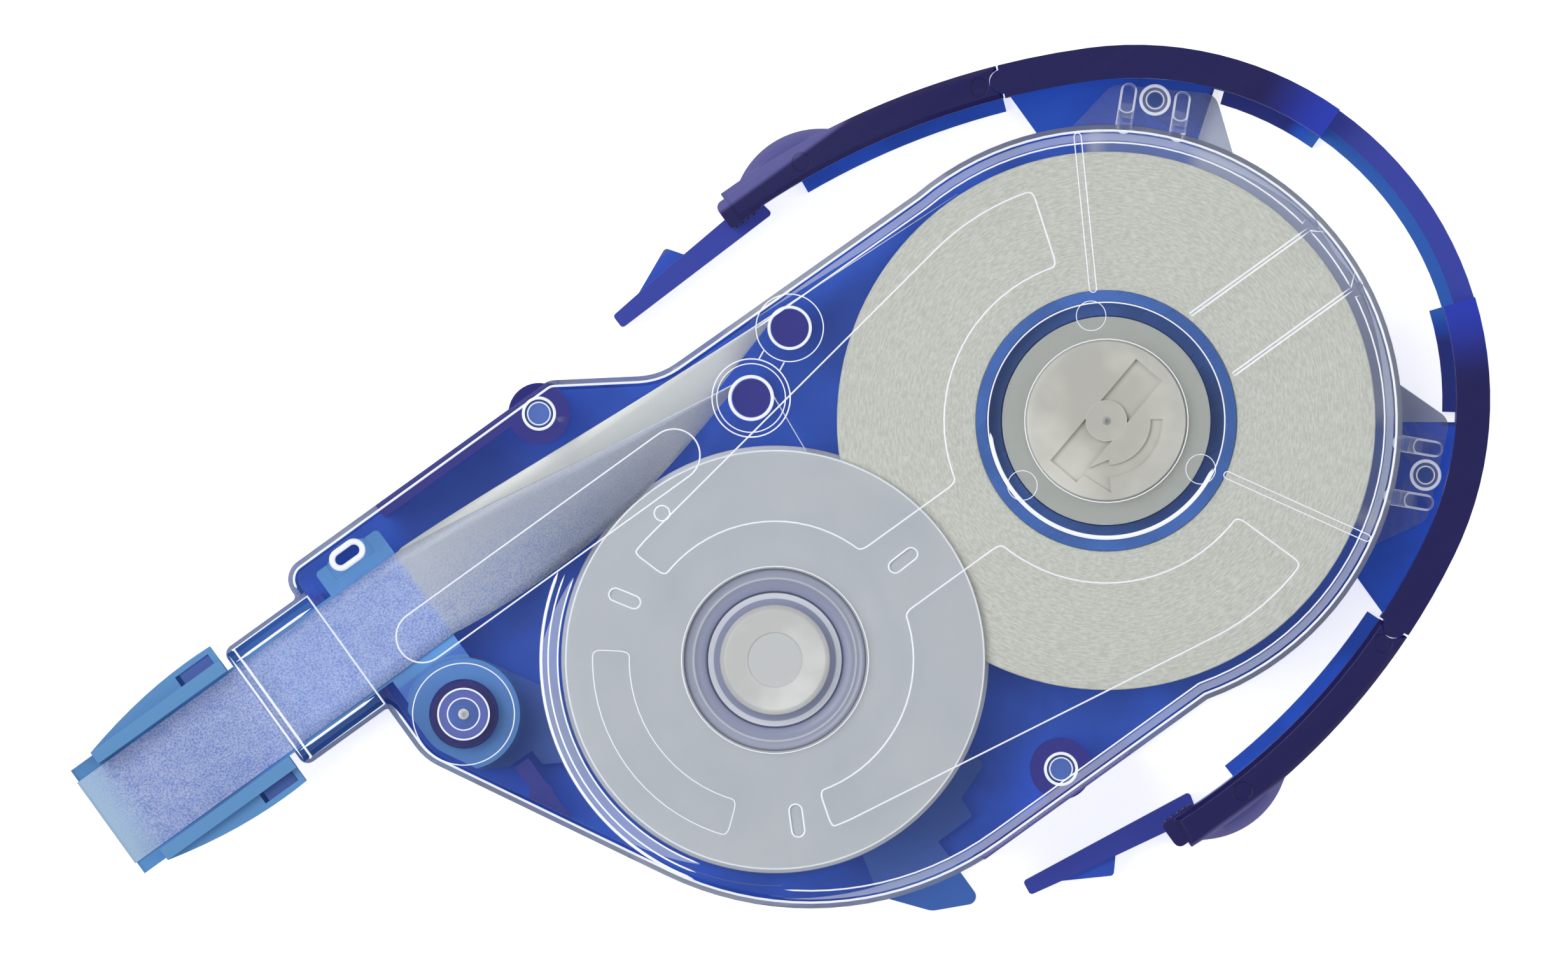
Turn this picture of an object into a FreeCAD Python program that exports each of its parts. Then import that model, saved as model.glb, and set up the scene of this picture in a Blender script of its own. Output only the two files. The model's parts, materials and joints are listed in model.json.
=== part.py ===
import FreeCAD, Part
import math
import os

# Refill cartridge of a correction tape roller, lying on its base. Units are millimetres.
# The origin is the foot of the supply reel's axis on the underside of the base. +X runs from
# the applicator tip to the release bow, +Z is up through the clear cover, and both reels, the
# applicator lever and the release arms turn about axes along Z.

Vector = FreeCAD.Vector
Z = Vector(0, 0, 1)


def polar(centre, radius, angle):
    """Point at a radius and an angle in degrees from a centre."""
    turn = math.radians(angle)
    return centre + Vector(radius * math.cos(turn), radius * math.sin(turn), 0)


# ------------------------------------------------------------------ clearances
running_gap = 0.08          # radial, between a shaft and its bore
seat_gap = 0.03             # between fixed pieces that plug together
layer_gap = 0.2             # between stacked turning pieces
side_gap = 0.3              # between pieces that pass each other

# ------------------------------------------------------------------ tape and reels
tape_width = 8.4
tape_thickness = 0.12
roll_radius = 22.75
core_radius = 11.0
core_wall = 0.9
drum_radius = 11.0
gear_module = 0.75
gear_thickness = 1.6
tooth_addendum = 0.6
tooth_dedendum = 0.75
tooth_backlash = 0.16
gear_inset = 0.25           # the roll hides the large gear by at least this much
winding_thickness = 0.15
drum_wall = 1.0
flange_thickness = 0.6
lower_flange_radius = 18.1
upper_flange_radius = lower_flange_radius - 0.35

# ------------------------------------------------------------------ shells
floor_thickness = 1.2
cover_thickness = 1.0
skirt_wall = 0.85
roll_room = 1.4             # radial space round the full roll
panel_depth = 0.25          # stepped panels in the cover's top
boss_radius = 2.6
snap_pin_radius = 1.27
post_radius = 1.55
wall_rise = 0.2             # the long upper wall stands off the supply round
wall_drop = 0.95            # the long lower wall cuts into the supply round
shelf_rise = 5.1            # raised shelf above the tape run
lower_left_radius = 28.0    # large round at the body's lower left

# ------------------------------------------------------------------ applicator lever
lever_thickness = 1.6       # tongue and arm
eye_radius = 4.85
pivot_boss_radius = 2.85
lever_reach = 29.8          # from the pivot to the tip's edge
nose_reach = 13.45          # from the pivot to the nose's front
nose_half_width = 6.0
guard_thickness = 1.15
guard_height = 7.6
tip_edge_thickness = 0.9
lever_swing = 1.2           # degrees each way

# ------------------------------------------------------------------ release bow
bow_gap = 5.3               # free space between the body and the bow
bow_thickness = 2.8
bow_height = 10.5
bow_low_height = 4.5        # at the flexible middle
bow_lip = 1.1
bow_radius = 30.0
bow_half_angle = 62.0       # the round middle, either side of +X
hook_height = 4.2
hook_length = 15.4
hook_thickness = 1.3
squeeze = 4.0               # degrees that each release arm flexes inwards

# ------------------------------------------------------------------ levels
gear_bottom = floor_thickness + 2 * layer_gap
gear_top = gear_bottom + gear_thickness
lower_flange_bottom = gear_top + layer_gap
lower_flange_top = lower_flange_bottom + flange_thickness
tape_bottom = lower_flange_top + layer_gap
tape_middle = tape_bottom + tape_width / 2
tape_top = tape_bottom + tape_width
upper_flange_bottom = tape_top + layer_gap
upper_flange_top = upper_flange_bottom + flange_thickness
cover_under = upper_flange_top + side_gap
cover_top = cover_under + cover_thickness

# ------------------------------------------------------------------ places
supply_teeth = 2 * int((roll_radius - tooth_addendum - gear_inset) / gear_module)
wanted_spacing = roll_radius + drum_radius + winding_thickness + 2 * side_gap
takeup_teeth = round(2 * wanted_spacing / gear_module) - supply_teeth
reel_spacing = gear_module * (supply_teeth + takeup_teeth) / 2
supply_pitch_radius = gear_module * supply_teeth / 2
takeup_pitch_radius = gear_module * takeup_teeth / 2
SUPPLY = Vector(0, 0, 0)
TAKEUP = Vector(-reel_spacing, 0, 0)
body_radius = roll_radius + roll_room + skirt_wall
takeup_wall_inside = lower_flange_radius + 1.0
takeup_wall_outside = takeup_wall_inside + skirt_wall
takeup_body_radius = takeup_wall_outside + 0.45
POST_RETURN = polar(TAKEUP, lower_flange_radius + 4.1, 59.4)
POST_FEED = POST_RETURN + Vector(6.1, 2.9, 0)
upper_outline_y = max(body_radius + wall_rise, POST_FEED.y + 3.2)
lower_outline_y = wall_drop - body_radius
shelf_y = upper_outline_y + shelf_rise
nose_y = POST_FEED.y - 0.15
PIVOT = Vector(TAKEUP.x - takeup_body_radius - 3.6, nose_y - 10.2, 0)
nose_front_x = PIVOT.x - nose_reach
tip_x = PIVOT.x - lever_reach
left_x = PIVOT.x - eye_radius - 0.05
BOSS_UPPER = Vector(TAKEUP.x - 4.0, shelf_y - 1.8, 0)
BOSS_LOWER = Vector(TAKEUP.x + 14.2, lower_outline_y + 2.45, 0)
CLIP = Vector(PIVOT.x - 0.1, shelf_y - 2.0, 0)
BOW = Vector(body_radius + bow_gap + 2.75 - bow_radius, 0, 0)


# ================================================================== plain solids
def disc(centre, radius, low, high):
    """Upright cylinder between two levels."""
    return Part.makeCylinder(radius, high - low, Vector(centre.x, centre.y, low))


def ring(centre, inside, outside, low, high):
    """Upright tube between two levels."""
    return disc(centre, outside, low, high).cut(disc(centre, inside, low, high))


def block(x_low, x_high, y_low, y_high, low, high):
    """Box given by its limits."""
    return Part.makeBox(x_high - x_low, y_high - y_low, high - low, Vector(x_low, y_low, low))


def prism(points, low, high):
    """Upright prism on a polygon of (x, y) points."""
    wire = Part.makePolygon([Vector(x, y, low) for x, y in points + points[:1]])
    return Part.Face(wire).extrude(Z * (high - low))


def slot(start, end, radius, low, high):
    """Upright obround between two centres."""
    return tangent_hull(start, radius, end, radius, low, high)


def tangent_hull(first, first_radius, second, second_radius, low, high):
    """Two upright cylinders joined by their outer tangents."""
    along = second - first
    heading = math.degrees(math.atan2(along.y, along.x))
    lean = math.degrees(math.acos((first_radius - second_radius) / along.Length))
    corners = [polar(first, first_radius, heading + lean), polar(first, first_radius, heading - lean),
               polar(second, second_radius, heading - lean), polar(second, second_radius, heading + lean)]
    bridge = prism([(p.x, p.y) for p in corners], low, high)
    hull = disc(first, first_radius, low, high).fuse([disc(second, second_radius, low, high), bridge])
    return hull.removeSplitter()


def sector(centre, inside, outside, start, sweep, low, high):
    """Part of a tube, from a start angle counter-clockwise through a sweep in degrees."""
    a, m, b = start, start + sweep / 2, start + sweep
    edges = [Part.Arc(polar(centre, outside, a), polar(centre, outside, m), polar(centre, outside, b)),
             Part.LineSegment(polar(centre, outside, b), polar(centre, inside, b)),
             Part.Arc(polar(centre, inside, b), polar(centre, inside, m), polar(centre, inside, a)),
             Part.LineSegment(polar(centre, inside, a), polar(centre, outside, a))]
    face = Part.Face(Part.Wire([edge.toShape() for edge in edges]))
    face.translate(Z * low)
    return face.extrude(Z * (high - low))


def rounded_polygon(corners):
    """Flat face on (x, y, radius) corners, each rounded by a tangent arc."""
    starts, ends, edges = [], [], []
    count = len(corners)
    for i, (x, y, radius) in enumerate(corners):
        here = Vector(x, y, 0)
        back = (Vector(corners[i - 1][0], corners[i - 1][1], 0) - here).normalize()
        ahead = (Vector(corners[(i + 1) % count][0], corners[(i + 1) % count][1], 0) - here).normalize()
        half = back.getAngle(ahead) / 2
        trim = radius / math.tan(half) if radius else 0
        starts.append(here + back * trim)
        ends.append(here + ahead * trim)
        if radius:
            bisector = (back + ahead).normalize()
            nearest = here + bisector * (radius / math.sin(half) - radius)
            edges.append(Part.Arc(starts[-1], nearest, ends[-1]).toShape())
        else:
            edges.append(None)
    outline = []
    for i in range(count):
        if edges[i]:
            outline.append(edges[i])
        outline.append(Part.LineSegment(ends[i], starts[(i + 1) % count]).toShape())
    return Part.Face(Part.Wire(outline))


def plate(corners, low, high):
    """Upright prism on a rounded polygon."""
    face = rounded_polygon(corners)
    face.translate(Z * low)
    return face.extrude(Z * (high - low))


def radial_wedge(points, width, angle):
    """Prism on a polygon of (distance from the supply axis, height), centred on an angle in plan."""
    wire = Part.makePolygon([Vector(x, -width / 2, z) for x, z in points + points[:1]])
    shape = Part.Face(wire).extrude(Vector(0, width, 0))
    shape.rotate(Vector(), Z, angle)
    return shape


def crossing(point, heading, other, other_heading):
    """Where two straight lines meet, each given by a point and a heading in degrees."""
    u = polar(Vector(), 1, heading)
    v = polar(Vector(), 1, other_heading)
    gap = other - point
    return point + u * ((gap.x * v.y - gap.y * v.x) / (u.x * v.y - u.y * v.x))


def union(shapes):
    """One solid from overlapping shapes, with its seams removed where the result stays sound."""
    fused = shapes[0].fuse(shapes[1:])
    seamless = fused.copy().removeSplitter()
    return seamless if seamless.isValid() else fused


def top_edges(shape, level):
    """Edges that lie wholly at one level."""
    return [edge for edge in shape.Edges
            if abs(edge.BoundBox.ZMin - level) < 1e-4 and abs(edge.BoundBox.ZMax - level) < 1e-4]


def soften(shape, level, size):
    """Break every edge at one level with a chamfer."""
    return shape.makeChamfer(size, top_edges(shape, level))


# ================================================================== outline of the body
def body_face():
    """Plan of the body: two reel rounds, the pivot's round, the nose and the shelf."""
    to_takeup = TAKEUP - PIVOT
    heading = math.degrees(math.atan2(to_takeup.y, to_takeup.x))
    lean = math.degrees(math.asin((takeup_body_radius - eye_radius) / to_takeup.Length))
    slant = heading - lean
    on_slant = polar(PIVOT, eye_radius, slant - 90)
    pivot_corner = crossing(on_slant, slant, Vector(left_x, 0, 0), 90)
    lower_corner = crossing(on_slant, slant, Vector(0, lower_outline_y, 0), 0)
    nose_low = nose_y - nose_half_width
    nose_high = nose_y + nose_half_width
    shelf_x = CLIP.x - 5.6
    slope_x = BOSS_UPPER.x + 2.3
    corners = [(nose_front_x, nose_low, 0.8),
               (left_x, nose_low, 0.4),
               (pivot_corner.x, pivot_corner.y, eye_radius),
               (lower_corner.x, lower_corner.y, lower_left_radius),
               (0, lower_outline_y, 0),
               (0, upper_outline_y - 0.3, 0),
               (slope_x + 7.8, upper_outline_y, 6.0),
               (slope_x, shelf_y, 1.5),
               (shelf_x, shelf_y, 1.8),
               (shelf_x, nose_high, 0.4),
               (nose_front_x, nose_high, 0.8)]
    face = rounded_polygon(corners)
    for centre, radius in ((SUPPLY, body_radius), (BOSS_UPPER, boss_radius)):
        face = face.fuse(Part.Face(Part.Wire(Part.makeCircle(radius, centre))))
    return face.removeSplitter().Faces[0]


BODY = body_face()


def body_prism(inset, low, high):
    """Prism on the body's plan, drawn in by an inset."""
    face = BODY.makeOffset2D(-inset) if inset else BODY.copy()
    face.translate(Z * low)
    return face.extrude(Z * (high - low))


# ================================================================== gears
def gear(centre, teeth, phase, low, high):
    """Straight-sided gear with its first tooth's middle at the phase angle."""
    pitch_radius = gear_module * teeth / 2
    tooth = math.pi * gear_module - tooth_backlash * 2
    slope = math.tan(math.radians(20))
    root_half = math.degrees((tooth / 4 + slope * tooth_dedendum) / pitch_radius)
    tip_half = math.degrees((tooth / 4 - slope * tooth_addendum) / pitch_radius)
    root = pitch_radius - tooth_dedendum
    tip = pitch_radius + tooth_addendum
    points = []
    for i in range(teeth):
        middle = phase + 360 * i / teeth
        for radius, offset in ((root, -root_half), (tip, -tip_half), (tip, tip_half), (root, root_half)):
            point = polar(centre, radius, middle + offset)
            points.append((point.x, point.y))
    return prism(points, low, high)


# ================================================================== release bow
def arm_round(end):
    """Centre and outer radius of the gentle curve that carries on from the bow's middle to an arm's end."""
    start = polar(BOW, bow_radius, bow_half_angle)
    chord = end - start
    sweep = 2 * (math.degrees(math.atan2(chord.y, chord.x)) - bow_half_angle - 90)
    radius = chord.Length / 2 / math.sin(math.radians(sweep / 2))
    return polar(BOW, bow_radius - radius, bow_half_angle), radius, sweep


class Arm:
    """Places on one release arm. The lower arm is drawn above the X axis and mirrored."""

    def __init__(self, side, end, hook_tilt):
        self.side = side
        self.hook_tilt = hook_tilt
        self.centre, self.radius, self.sweep = arm_round(end)
        self.middle = self.radius - bow_thickness / 2
        self.hinge_angle = math.degrees(math.acos((arm_hinge_x - self.centre.x) / self.middle))
        self.end_angle = bow_half_angle + self.sweep
        self.hinge = polar(self.centre, self.middle, self.hinge_angle)

    def place(self, shape):
        """The shape on its own side of the X axis."""
        return shape if self.side > 0 else shape.mirror(Vector(), Vector(0, 1, 0))


arm_hinge_x = BOW.x + 6.6
arm_end_x = -15.2
arm_spread = 9.4            # from the body's long walls to the ends of the bow
arm_knuckle = 1.0           # radius of the rounded seam that stands for the flexing root
UPPER_ARM = Arm(1, Vector(arm_end_x, upper_outline_y + arm_spread, 0), 1.5)
LOWER_ARM = Arm(-1, Vector(arm_end_x, arm_spread - lower_outline_y, 0), 7.5)


def hook(arm, root):
    """Low barbed strip at the end of a release arm, from its root towards -X."""
    strip = rounded_polygon([(0.6, 0, 0.3),
                             (0.3, hook_thickness + 0.9, 0.3),
                             (-11.2, hook_thickness + 0.3, 0),
                             (-hook_length, hook_thickness, 0.3),
                             (-hook_length, 0, 0.3)])
    barb = rounded_polygon([(-6.6, 0.5, 0),
                            (-8.4, hook_thickness + 1.9, 0.35),
                            (-13.0, hook_thickness, 0),
                            (-13.0, 0.5, 0)])
    shapes = [face.extrude(Z * height) for face, height in ((strip, hook_height), (barb, hook_height - 0.8))]
    shape = union(shapes)
    shape.rotate(Vector(), Z, arm.hook_tilt)
    shape.translate(root)
    return shape


def release_arm(arm):
    """Free end of the bow: tall band, low lip, thumb pad, ribbed grip and barbed hook."""
    gap_angle = math.degrees(layer_gap / arm.middle)
    sweep = arm.end_angle - arm.hinge_angle - gap_angle
    start = arm.hinge_angle + gap_angle
    band = sector(arm.centre, arm.radius - bow_thickness, arm.radius, start, sweep, 0, bow_height)
    band = soften(band, bow_height, 0.4)
    band = band.cut(disc(arm.hinge, arm_knuckle + running_gap, 0, bow_height))
    lip_end = 6.5 / arm.radius * 180 / math.pi
    lip_inside = arm.radius - bow_thickness - bow_lip
    lip = sector(arm.centre, lip_inside, arm.radius - bow_thickness + 0.2, start, sweep - lip_end, 0, floor_thickness)
    end = polar(arm.centre, arm.radius, arm.end_angle)
    pad_middle = polar(arm.centre, arm.radius - 6.25, arm.end_angle - 5.2)
    pad_top = bow_height - 2.5
    pad = disc(pad_middle, 7.5, 1.5, pad_top)
    pad = soften(pad, pad_top, 0.8)
    pad = pad.cut(disc(arm.centre, arm.radius - bow_thickness / 2, 0, bow_height))
    grip_low = end.y - bow_thickness - 0.2
    grip = plate([(end.x - 1.0, grip_low, 0.3), (end.x + 2.2, grip_low, 0.3),
                  (end.x + 2.2, grip_low + 2.5, 0.3), (end.x - 1.0, grip_low + 2.5, 0.6)], 0, bow_height - 0.4)
    ribs = [block(end.x - 0.6 + 0.6 * i, end.x - 0.3 + 0.6 * i, grip_low - 0.15, grip_low + 0.5,
                  0.8, bow_height - 1.2) for i in range(4)]
    tail = hook(arm, Vector(end.x + 2.0, grip_low - 0.9, 0))
    shape = union([band, lip, pad, grip, tail] + ribs)
    for angle in (arm.end_angle - 6.0, arm.hinge_angle + 1.7):
        mark = polar(arm.centre, arm.middle, angle)
        shape = shape.cut(disc(mark, 0.8, bow_height - 0.2, bow_height))
    return arm.place(shape)


def bow_root(arm):
    """Rigid stretch between the bow's middle and an arm's hinge, with its rounded end and web."""
    sweep = arm.hinge_angle - bow_half_angle
    stretch = sector(arm.centre, arm.radius - bow_thickness, arm.radius, bow_half_angle, sweep, 0, bow_height)
    knuckle = disc(arm.hinge, arm_knuckle, 0, bow_height)
    web = sector(SUPPLY, body_radius - 1.0, body_radius + bow_gap + 3, 36, 36, 0, floor_thickness)
    inside = disc(BOW, bow_radius - bow_thickness + 0.2, 0, floor_thickness)
    inside = inside.fuse(disc(arm.centre, arm.radius - bow_thickness + 0.2, 0, floor_thickness))
    web = web.common(inside)
    web = web.common(block(arm_hinge_x - 0.1, 60, 0, 60, 0, floor_thickness))
    return [arm.place(shape) for shape in (stretch, knuckle, web)]


def bow_middle():
    """Round middle of the bow, lower and thinner where it flexes."""
    low_half = 19.0
    tall_sweep = bow_half_angle - low_half
    ledge_sweep = 19.0
    inside = bow_radius - bow_thickness
    shapes = [sector(BOW, inside + 1.0, bow_radius, -low_half - 1, 2 * low_half + 2, 0, bow_low_height),
              sector(BOW, inside, inside + 1.1, -low_half - 1, 2 * low_half + 2, 0, floor_thickness)]
    for start in (low_half, -bow_half_angle):
        shapes.append(sector(BOW, inside, bow_radius, start, tall_sweep, 0, bow_height))
        ledge_start = start if start > 0 else -low_half - ledge_sweep
        shapes.append(sector(BOW, inside - bow_lip, inside + 0.1, ledge_start, ledge_sweep, 0, floor_thickness))
    return shapes


# ================================================================== base
hub_spindle_radius = 2.5
hub_spindle_top = tape_top - 1.6
takeup_spindle_radius = 2.0
takeup_spindle_top = tape_top - 1.2
post_top = cover_under - 0.5
nose_floor = tape_middle - 4.5          # the nose is shallower than the body
nose_roof = tape_middle + 4.5
base_wall_top = cover_under - seat_gap
tab_angle = 45.4
tab_pin_radius = 1.2
tab_thickness = 1.0
STOP = Vector(PIVOT.x + 1.5, PIVOT.y - 10.2, 0)


def inside_bow(angle):
    """Distance from the supply axis to the bow's inner face, at an angle in plan."""
    turn = math.radians(angle)
    inside = bow_radius - bow_thickness
    return BOW.x * math.cos(turn) + math.sqrt(inside ** 2 - (BOW.x * math.sin(turn)) ** 2)


tab_pin_reach = inside_bow(tab_angle) - 1.75


def tab_pin(side):
    """Centre of the pin that fastens a cover tab to the web."""
    return polar(SUPPLY, tab_pin_reach, side * tab_angle)


def base():
    """Tray with bosses, posts, walls, stop rib, nose floor, webs and the rigid part of the bow."""
    nose = block(nose_front_x - 1, left_x, 0, nose_y + nose_half_width, -1, 20)
    tray = body_prism(0, 0, floor_thickness).cut(nose)
    nose_floor_thickness = 1.0
    tongue_floor = body_prism(0, nose_floor - nose_floor_thickness, nose_floor).common(nose)
    channel = nose_half_width - skirt_wall - seat_gap
    step = block(left_x - 0.5, left_x + 1.0, nose_y - channel, nose_y + channel, 0, nose_floor)
    shapes = [tray, tongue_floor, step]
    shapes += [disc(SUPPLY, hub_spindle_radius, 0, hub_spindle_top),
               disc(SUPPLY, hub_spindle_radius + 1.2, 0, gear_bottom),
               disc(TAKEUP, takeup_spindle_radius, 0, takeup_spindle_top),
               disc(TAKEUP, takeup_spindle_radius + 1.2, 0, gear_bottom),
               disc(PIVOT, pivot_boss_radius, 0, tape_middle + 3.2),
               disc(POST_FEED, post_radius, 0, post_top),
               disc(POST_RETURN, post_radius, 0, post_top),
               disc(BOSS_UPPER, boss_radius, 0, base_wall_top),
               disc(BOSS_LOWER, boss_radius, 0, base_wall_top)]
    # tall dark walls on the shelf and along the lower edge, and the rib that stops the lever
    shapes.append(block(CLIP.x + 4.4, BOSS_UPPER.x, shelf_y - 1.3, shelf_y, 0, base_wall_top))
    shapes.append(block(TAKEUP.x + 4.5, BOSS_LOWER.x + 5.5, lower_outline_y, lower_outline_y + 0.95, 0, base_wall_top))
    shapes.append(stop_rib())
    shapes += bow_middle() + bow_root(UPPER_ARM) + bow_root(LOWER_ARM)
    shape = union(shapes)
    holes = [disc(PIVOT, snap_pin_radius + 0.1 + seat_gap, tape_middle - 1, cover_top),
             disc(BOSS_UPPER, snap_pin_radius + seat_gap, cover_under - 3.2, cover_top),
             disc(BOSS_LOWER, snap_pin_radius + seat_gap, cover_under - 3.2, cover_top)]
    holes += [disc(tab_pin(side), tab_pin_radius + seat_gap, -1, floor_thickness + 1) for side in (1, -1)]
    return shape.cut(union_loose(holes))


def stop_rib():
    """Rib in a cut-out of the lever's arm that limits the lever's swing."""
    low, high = floor_thickness / 2, tape_bottom + 3
    rib = block(STOP.x - 0.7, STOP.x + 0.7, STOP.y - 4.0, STOP.y + 4.0, low, high)
    rib = rib.fuse(disc(STOP + Vector(-0.2, 0.8, 0), 1.05, low, high))
    return rib.common(body_prism(skirt_wall + seat_gap, 0, high))


def union_loose(shapes):
    """Several separate cutters as one shape."""
    return shapes[0].fuse(shapes[1:])


# ================================================================== cover
hub_hole_radius = 6.9
takeup_hole_radius = 7.9
supply_panel_radius = body_radius - 4.6
takeup_panel_radius = takeup_body_radius - 5.5
corridor_half_width = 3.2   # plain band between the panels of the two reels
takeup_wall_end = 236.0     # degrees, where the wall round the take-up reel meets the lower skirt


def cover_panels():
    """Stepped panels sunk into the cover's top, as cutters."""
    low, high = cover_top - panel_depth, cover_top + 1
    panel = tangent_hull(SUPPLY, supply_panel_radius, TAKEUP, takeup_panel_radius, low, high)
    panel = panel.cut(union_loose([disc(SUPPLY, hub_hole_radius + 6.8, low, high),
                                   disc(TAKEUP, takeup_hole_radius + 3.8, low, high),
                                   block(left_x, body_radius, -corridor_half_width, corridor_half_width, low, high),
                                   sector(SUPPLY, 5, 40, -72, 144, low, high),
                                   sector(TAKEUP, 5, 40, 107, 146, low, high)]))
    cutters = [panel, sector(TAKEUP, takeup_panel_radius - 2.6, takeup_panel_radius + 0.5, 141, 78, low, high)]
    start = Vector(PIVOT.x + 1.0, nose_y - 2.85, 0)
    cutters.append(slot(start, Vector(TAKEUP.x + 3.2, nose_y - 2.85, 0), 2.2, low, high))
    return cutters


def cover_plate():
    """Top plate of the cover with its bevelled rim, stepped panels and two round openings."""
    shape = soften(body_prism(0, cover_under, cover_top), cover_top, 0.5)
    cutters = [block(nose_front_x - 1, left_x, 0, nose_y + nose_half_width, 0, 20),
               disc(SUPPLY, hub_hole_radius, cover_under - 1, cover_top + 1),
               disc(TAKEUP, takeup_hole_radius, cover_under - 1, cover_top + 1)]
    return shape.cut(union_loose(cutters + cover_panels()))


def cover_skirt():
    """Wall that stands on the base's rim, with gaps at the base's own walls, the tab and the nose."""
    skirt = body_prism(0, floor_thickness, cover_under + 0.1).cut(body_prism(skirt_wall, 0, 20))
    gaps = [block(CLIP.x + 4.4 - seat_gap, BOSS_UPPER.x, shelf_y - 1.4, shelf_y + 1, 0, cover_under),
            disc(BOSS_UPPER, boss_radius + seat_gap, 0, cover_under),
            block(TAKEUP.x + 4.5 - seat_gap, BOSS_LOWER.x + 5.5 + seat_gap, lower_outline_y - 1,
                  lower_outline_y + 1.0, 0, cover_under),
            block(TAKEUP.x - 6.4, TAKEUP.x + 3.9, lower_outline_y - 1, TAKEUP.y - 15,
                  0, gear_bottom + lever_thickness + side_gap),
            block(nose_front_x - 1, left_x, 0, nose_y + nose_half_width, 0, 20)]
    return skirt.cut(union_loose(gaps))


def cover_nose():
    """Shallow channel over the tape between the body and the applicator's guards."""
    low, high = nose_y - nose_half_width, nose_y + nose_half_width
    corners = [(nose_front_x, low, 0.8), (left_x + 0.6, low, 0), (left_x + 0.6, high, 0), (nose_front_x, high, 0.8)]
    outer = plate(corners, nose_floor, nose_roof)
    outer = soften(outer, nose_roof, 0.4)
    channel = block(nose_front_x - 1, left_x + 1, low + skirt_wall, high - skirt_wall, 0, nose_roof - cover_thickness)
    shape = outer.cut(channel)
    shape = shape.fuse(block(nose_front_x + 0.15, nose_front_x + 0.9, low + 0.4, high - 0.4,
                             nose_roof - cover_thickness, nose_roof + 0.3))
    wall = block(left_x, left_x + skirt_wall, low + 0.2, high + 0.2, nose_roof - cover_thickness, cover_under + 0.1)
    return [shape, wall]


def cover():
    """Clear shell: plate, skirt, nose, take-up wall, pins, sockets, tabs and ribs."""
    shapes = [cover_plate(), cover_skirt()] + cover_nose()
    wall_end_y = nose_y - tape_width / 2 - 1.45
    wall_start = 180 - math.degrees(math.asin(wall_end_y / takeup_wall_outside))
    shapes.append(sector(TAKEUP, takeup_wall_inside, takeup_wall_outside, wall_start, takeup_wall_end - wall_start,
                         gear_bottom + lever_thickness + side_gap, cover_under + 0.1))
    for post, outside in ((POST_FEED, 2.85), (POST_RETURN, 3.3)):
        shapes.append(ring(post, post_radius + seat_gap, outside, tape_top + 0.15, cover_under + 0.1))
        shapes.append(disc(post, outside, post_top + seat_gap, cover_under + 0.1))
    for boss in (BOSS_UPPER, BOSS_LOWER):
        shapes.append(disc(boss, snap_pin_radius, cover_under - 2.9, cover_under + 0.1))
    shapes.append(disc(PIVOT, snap_pin_radius + 0.1, tape_middle - 0.5, cover_under + 0.1))
    shapes.append(ring(PIVOT, 1.5, 2.15, tape_middle + 3.2 + seat_gap, cover_under + 0.1))
    shapes += cover_clip() + cover_tabs()
    ribs = [slot(polar(SUPPLY, hub_hole_radius + 4.3, side * 60), polar(SUPPLY, body_radius - 0.9, side * 60), 0.3,
                 cover_top - panel_depth - 0.1, cover_top + 0.2) for side in (1, -1)]
    ribs += [block(11.0, body_radius - 0.7, side * 3.1 - 0.15, side * 3.1 + 0.15, cover_top - 0.1, cover_top + 0.2)
             for side in (1, -1)]
    return union(shapes + ribs)


def cover_clip():
    """Pill-shaped catch that reaches down through the notch in the lever's root."""
    pill = slot(CLIP + Vector(-0.7, 0, 0), CLIP + Vector(0.7, 0, 0), 0.65, floor_thickness, cover_under + 0.1)
    return [pill]


def cover_tabs():
    """Two feet outside the skirt, pinned to the webs, each with a pair of rounded gussets."""
    shapes = []
    low = floor_thickness
    for side in (1, -1):
        places = [(body_radius - 0.75, 63.0, 0), (inside_bow(53.0) - 0.4, 53.0, 1.4),
                  (inside_bow(35.6) - 0.4, 35.6, 1.4), (body_radius - 0.5, 27.4, 0), (body_radius - 3.0, 45.0, 0)]
        points = [(polar(SUPPLY, reach, side * angle), radius) for reach, angle, radius in places]
        corners = [(point.x, point.y, radius) for point, radius in points[::side]]
        foot = plate(corners, low, low + tab_thickness).cut(disc(SUPPLY, body_radius - 0.4, 0, 20))
        shapes.append(foot)
        pin = tab_pin(side)
        shapes.append(disc(pin, tab_pin_radius, 0.2, low + tab_thickness + 0.8))
        across = polar(Vector(), 2.3, side * tab_angle + 90)
        for offset in (across, across * -1):
            inner = polar(SUPPLY, body_radius - 0.5, side * tab_angle) + offset
            outer = polar(SUPPLY, inside_bow(tab_angle + 5) - 1.15, side * tab_angle) + offset
            gusset = slot(inner, outer, 0.65, low, 9.0)
            slope = radial_wedge([(body_radius + 0.5, 9.1), (tab_pin_reach + 3, 9.1), (tab_pin_reach + 3, 2.6)],
                                 2, side * tab_angle)
            slope.translate(offset)
            gusset = gusset.cut(disc(SUPPLY, body_radius - 0.4, 0, 20))
            shapes.append(gusset.cut(slope))
    return shapes


# ================================================================== applicator lever
tongue_low = tape_middle - lever_thickness / 2
tongue_high = tape_middle + lever_thickness / 2
tongue_half_width = tape_width / 2 + 0.25
arm_low = gear_bottom
arm_high = gear_bottom + lever_thickness


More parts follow.
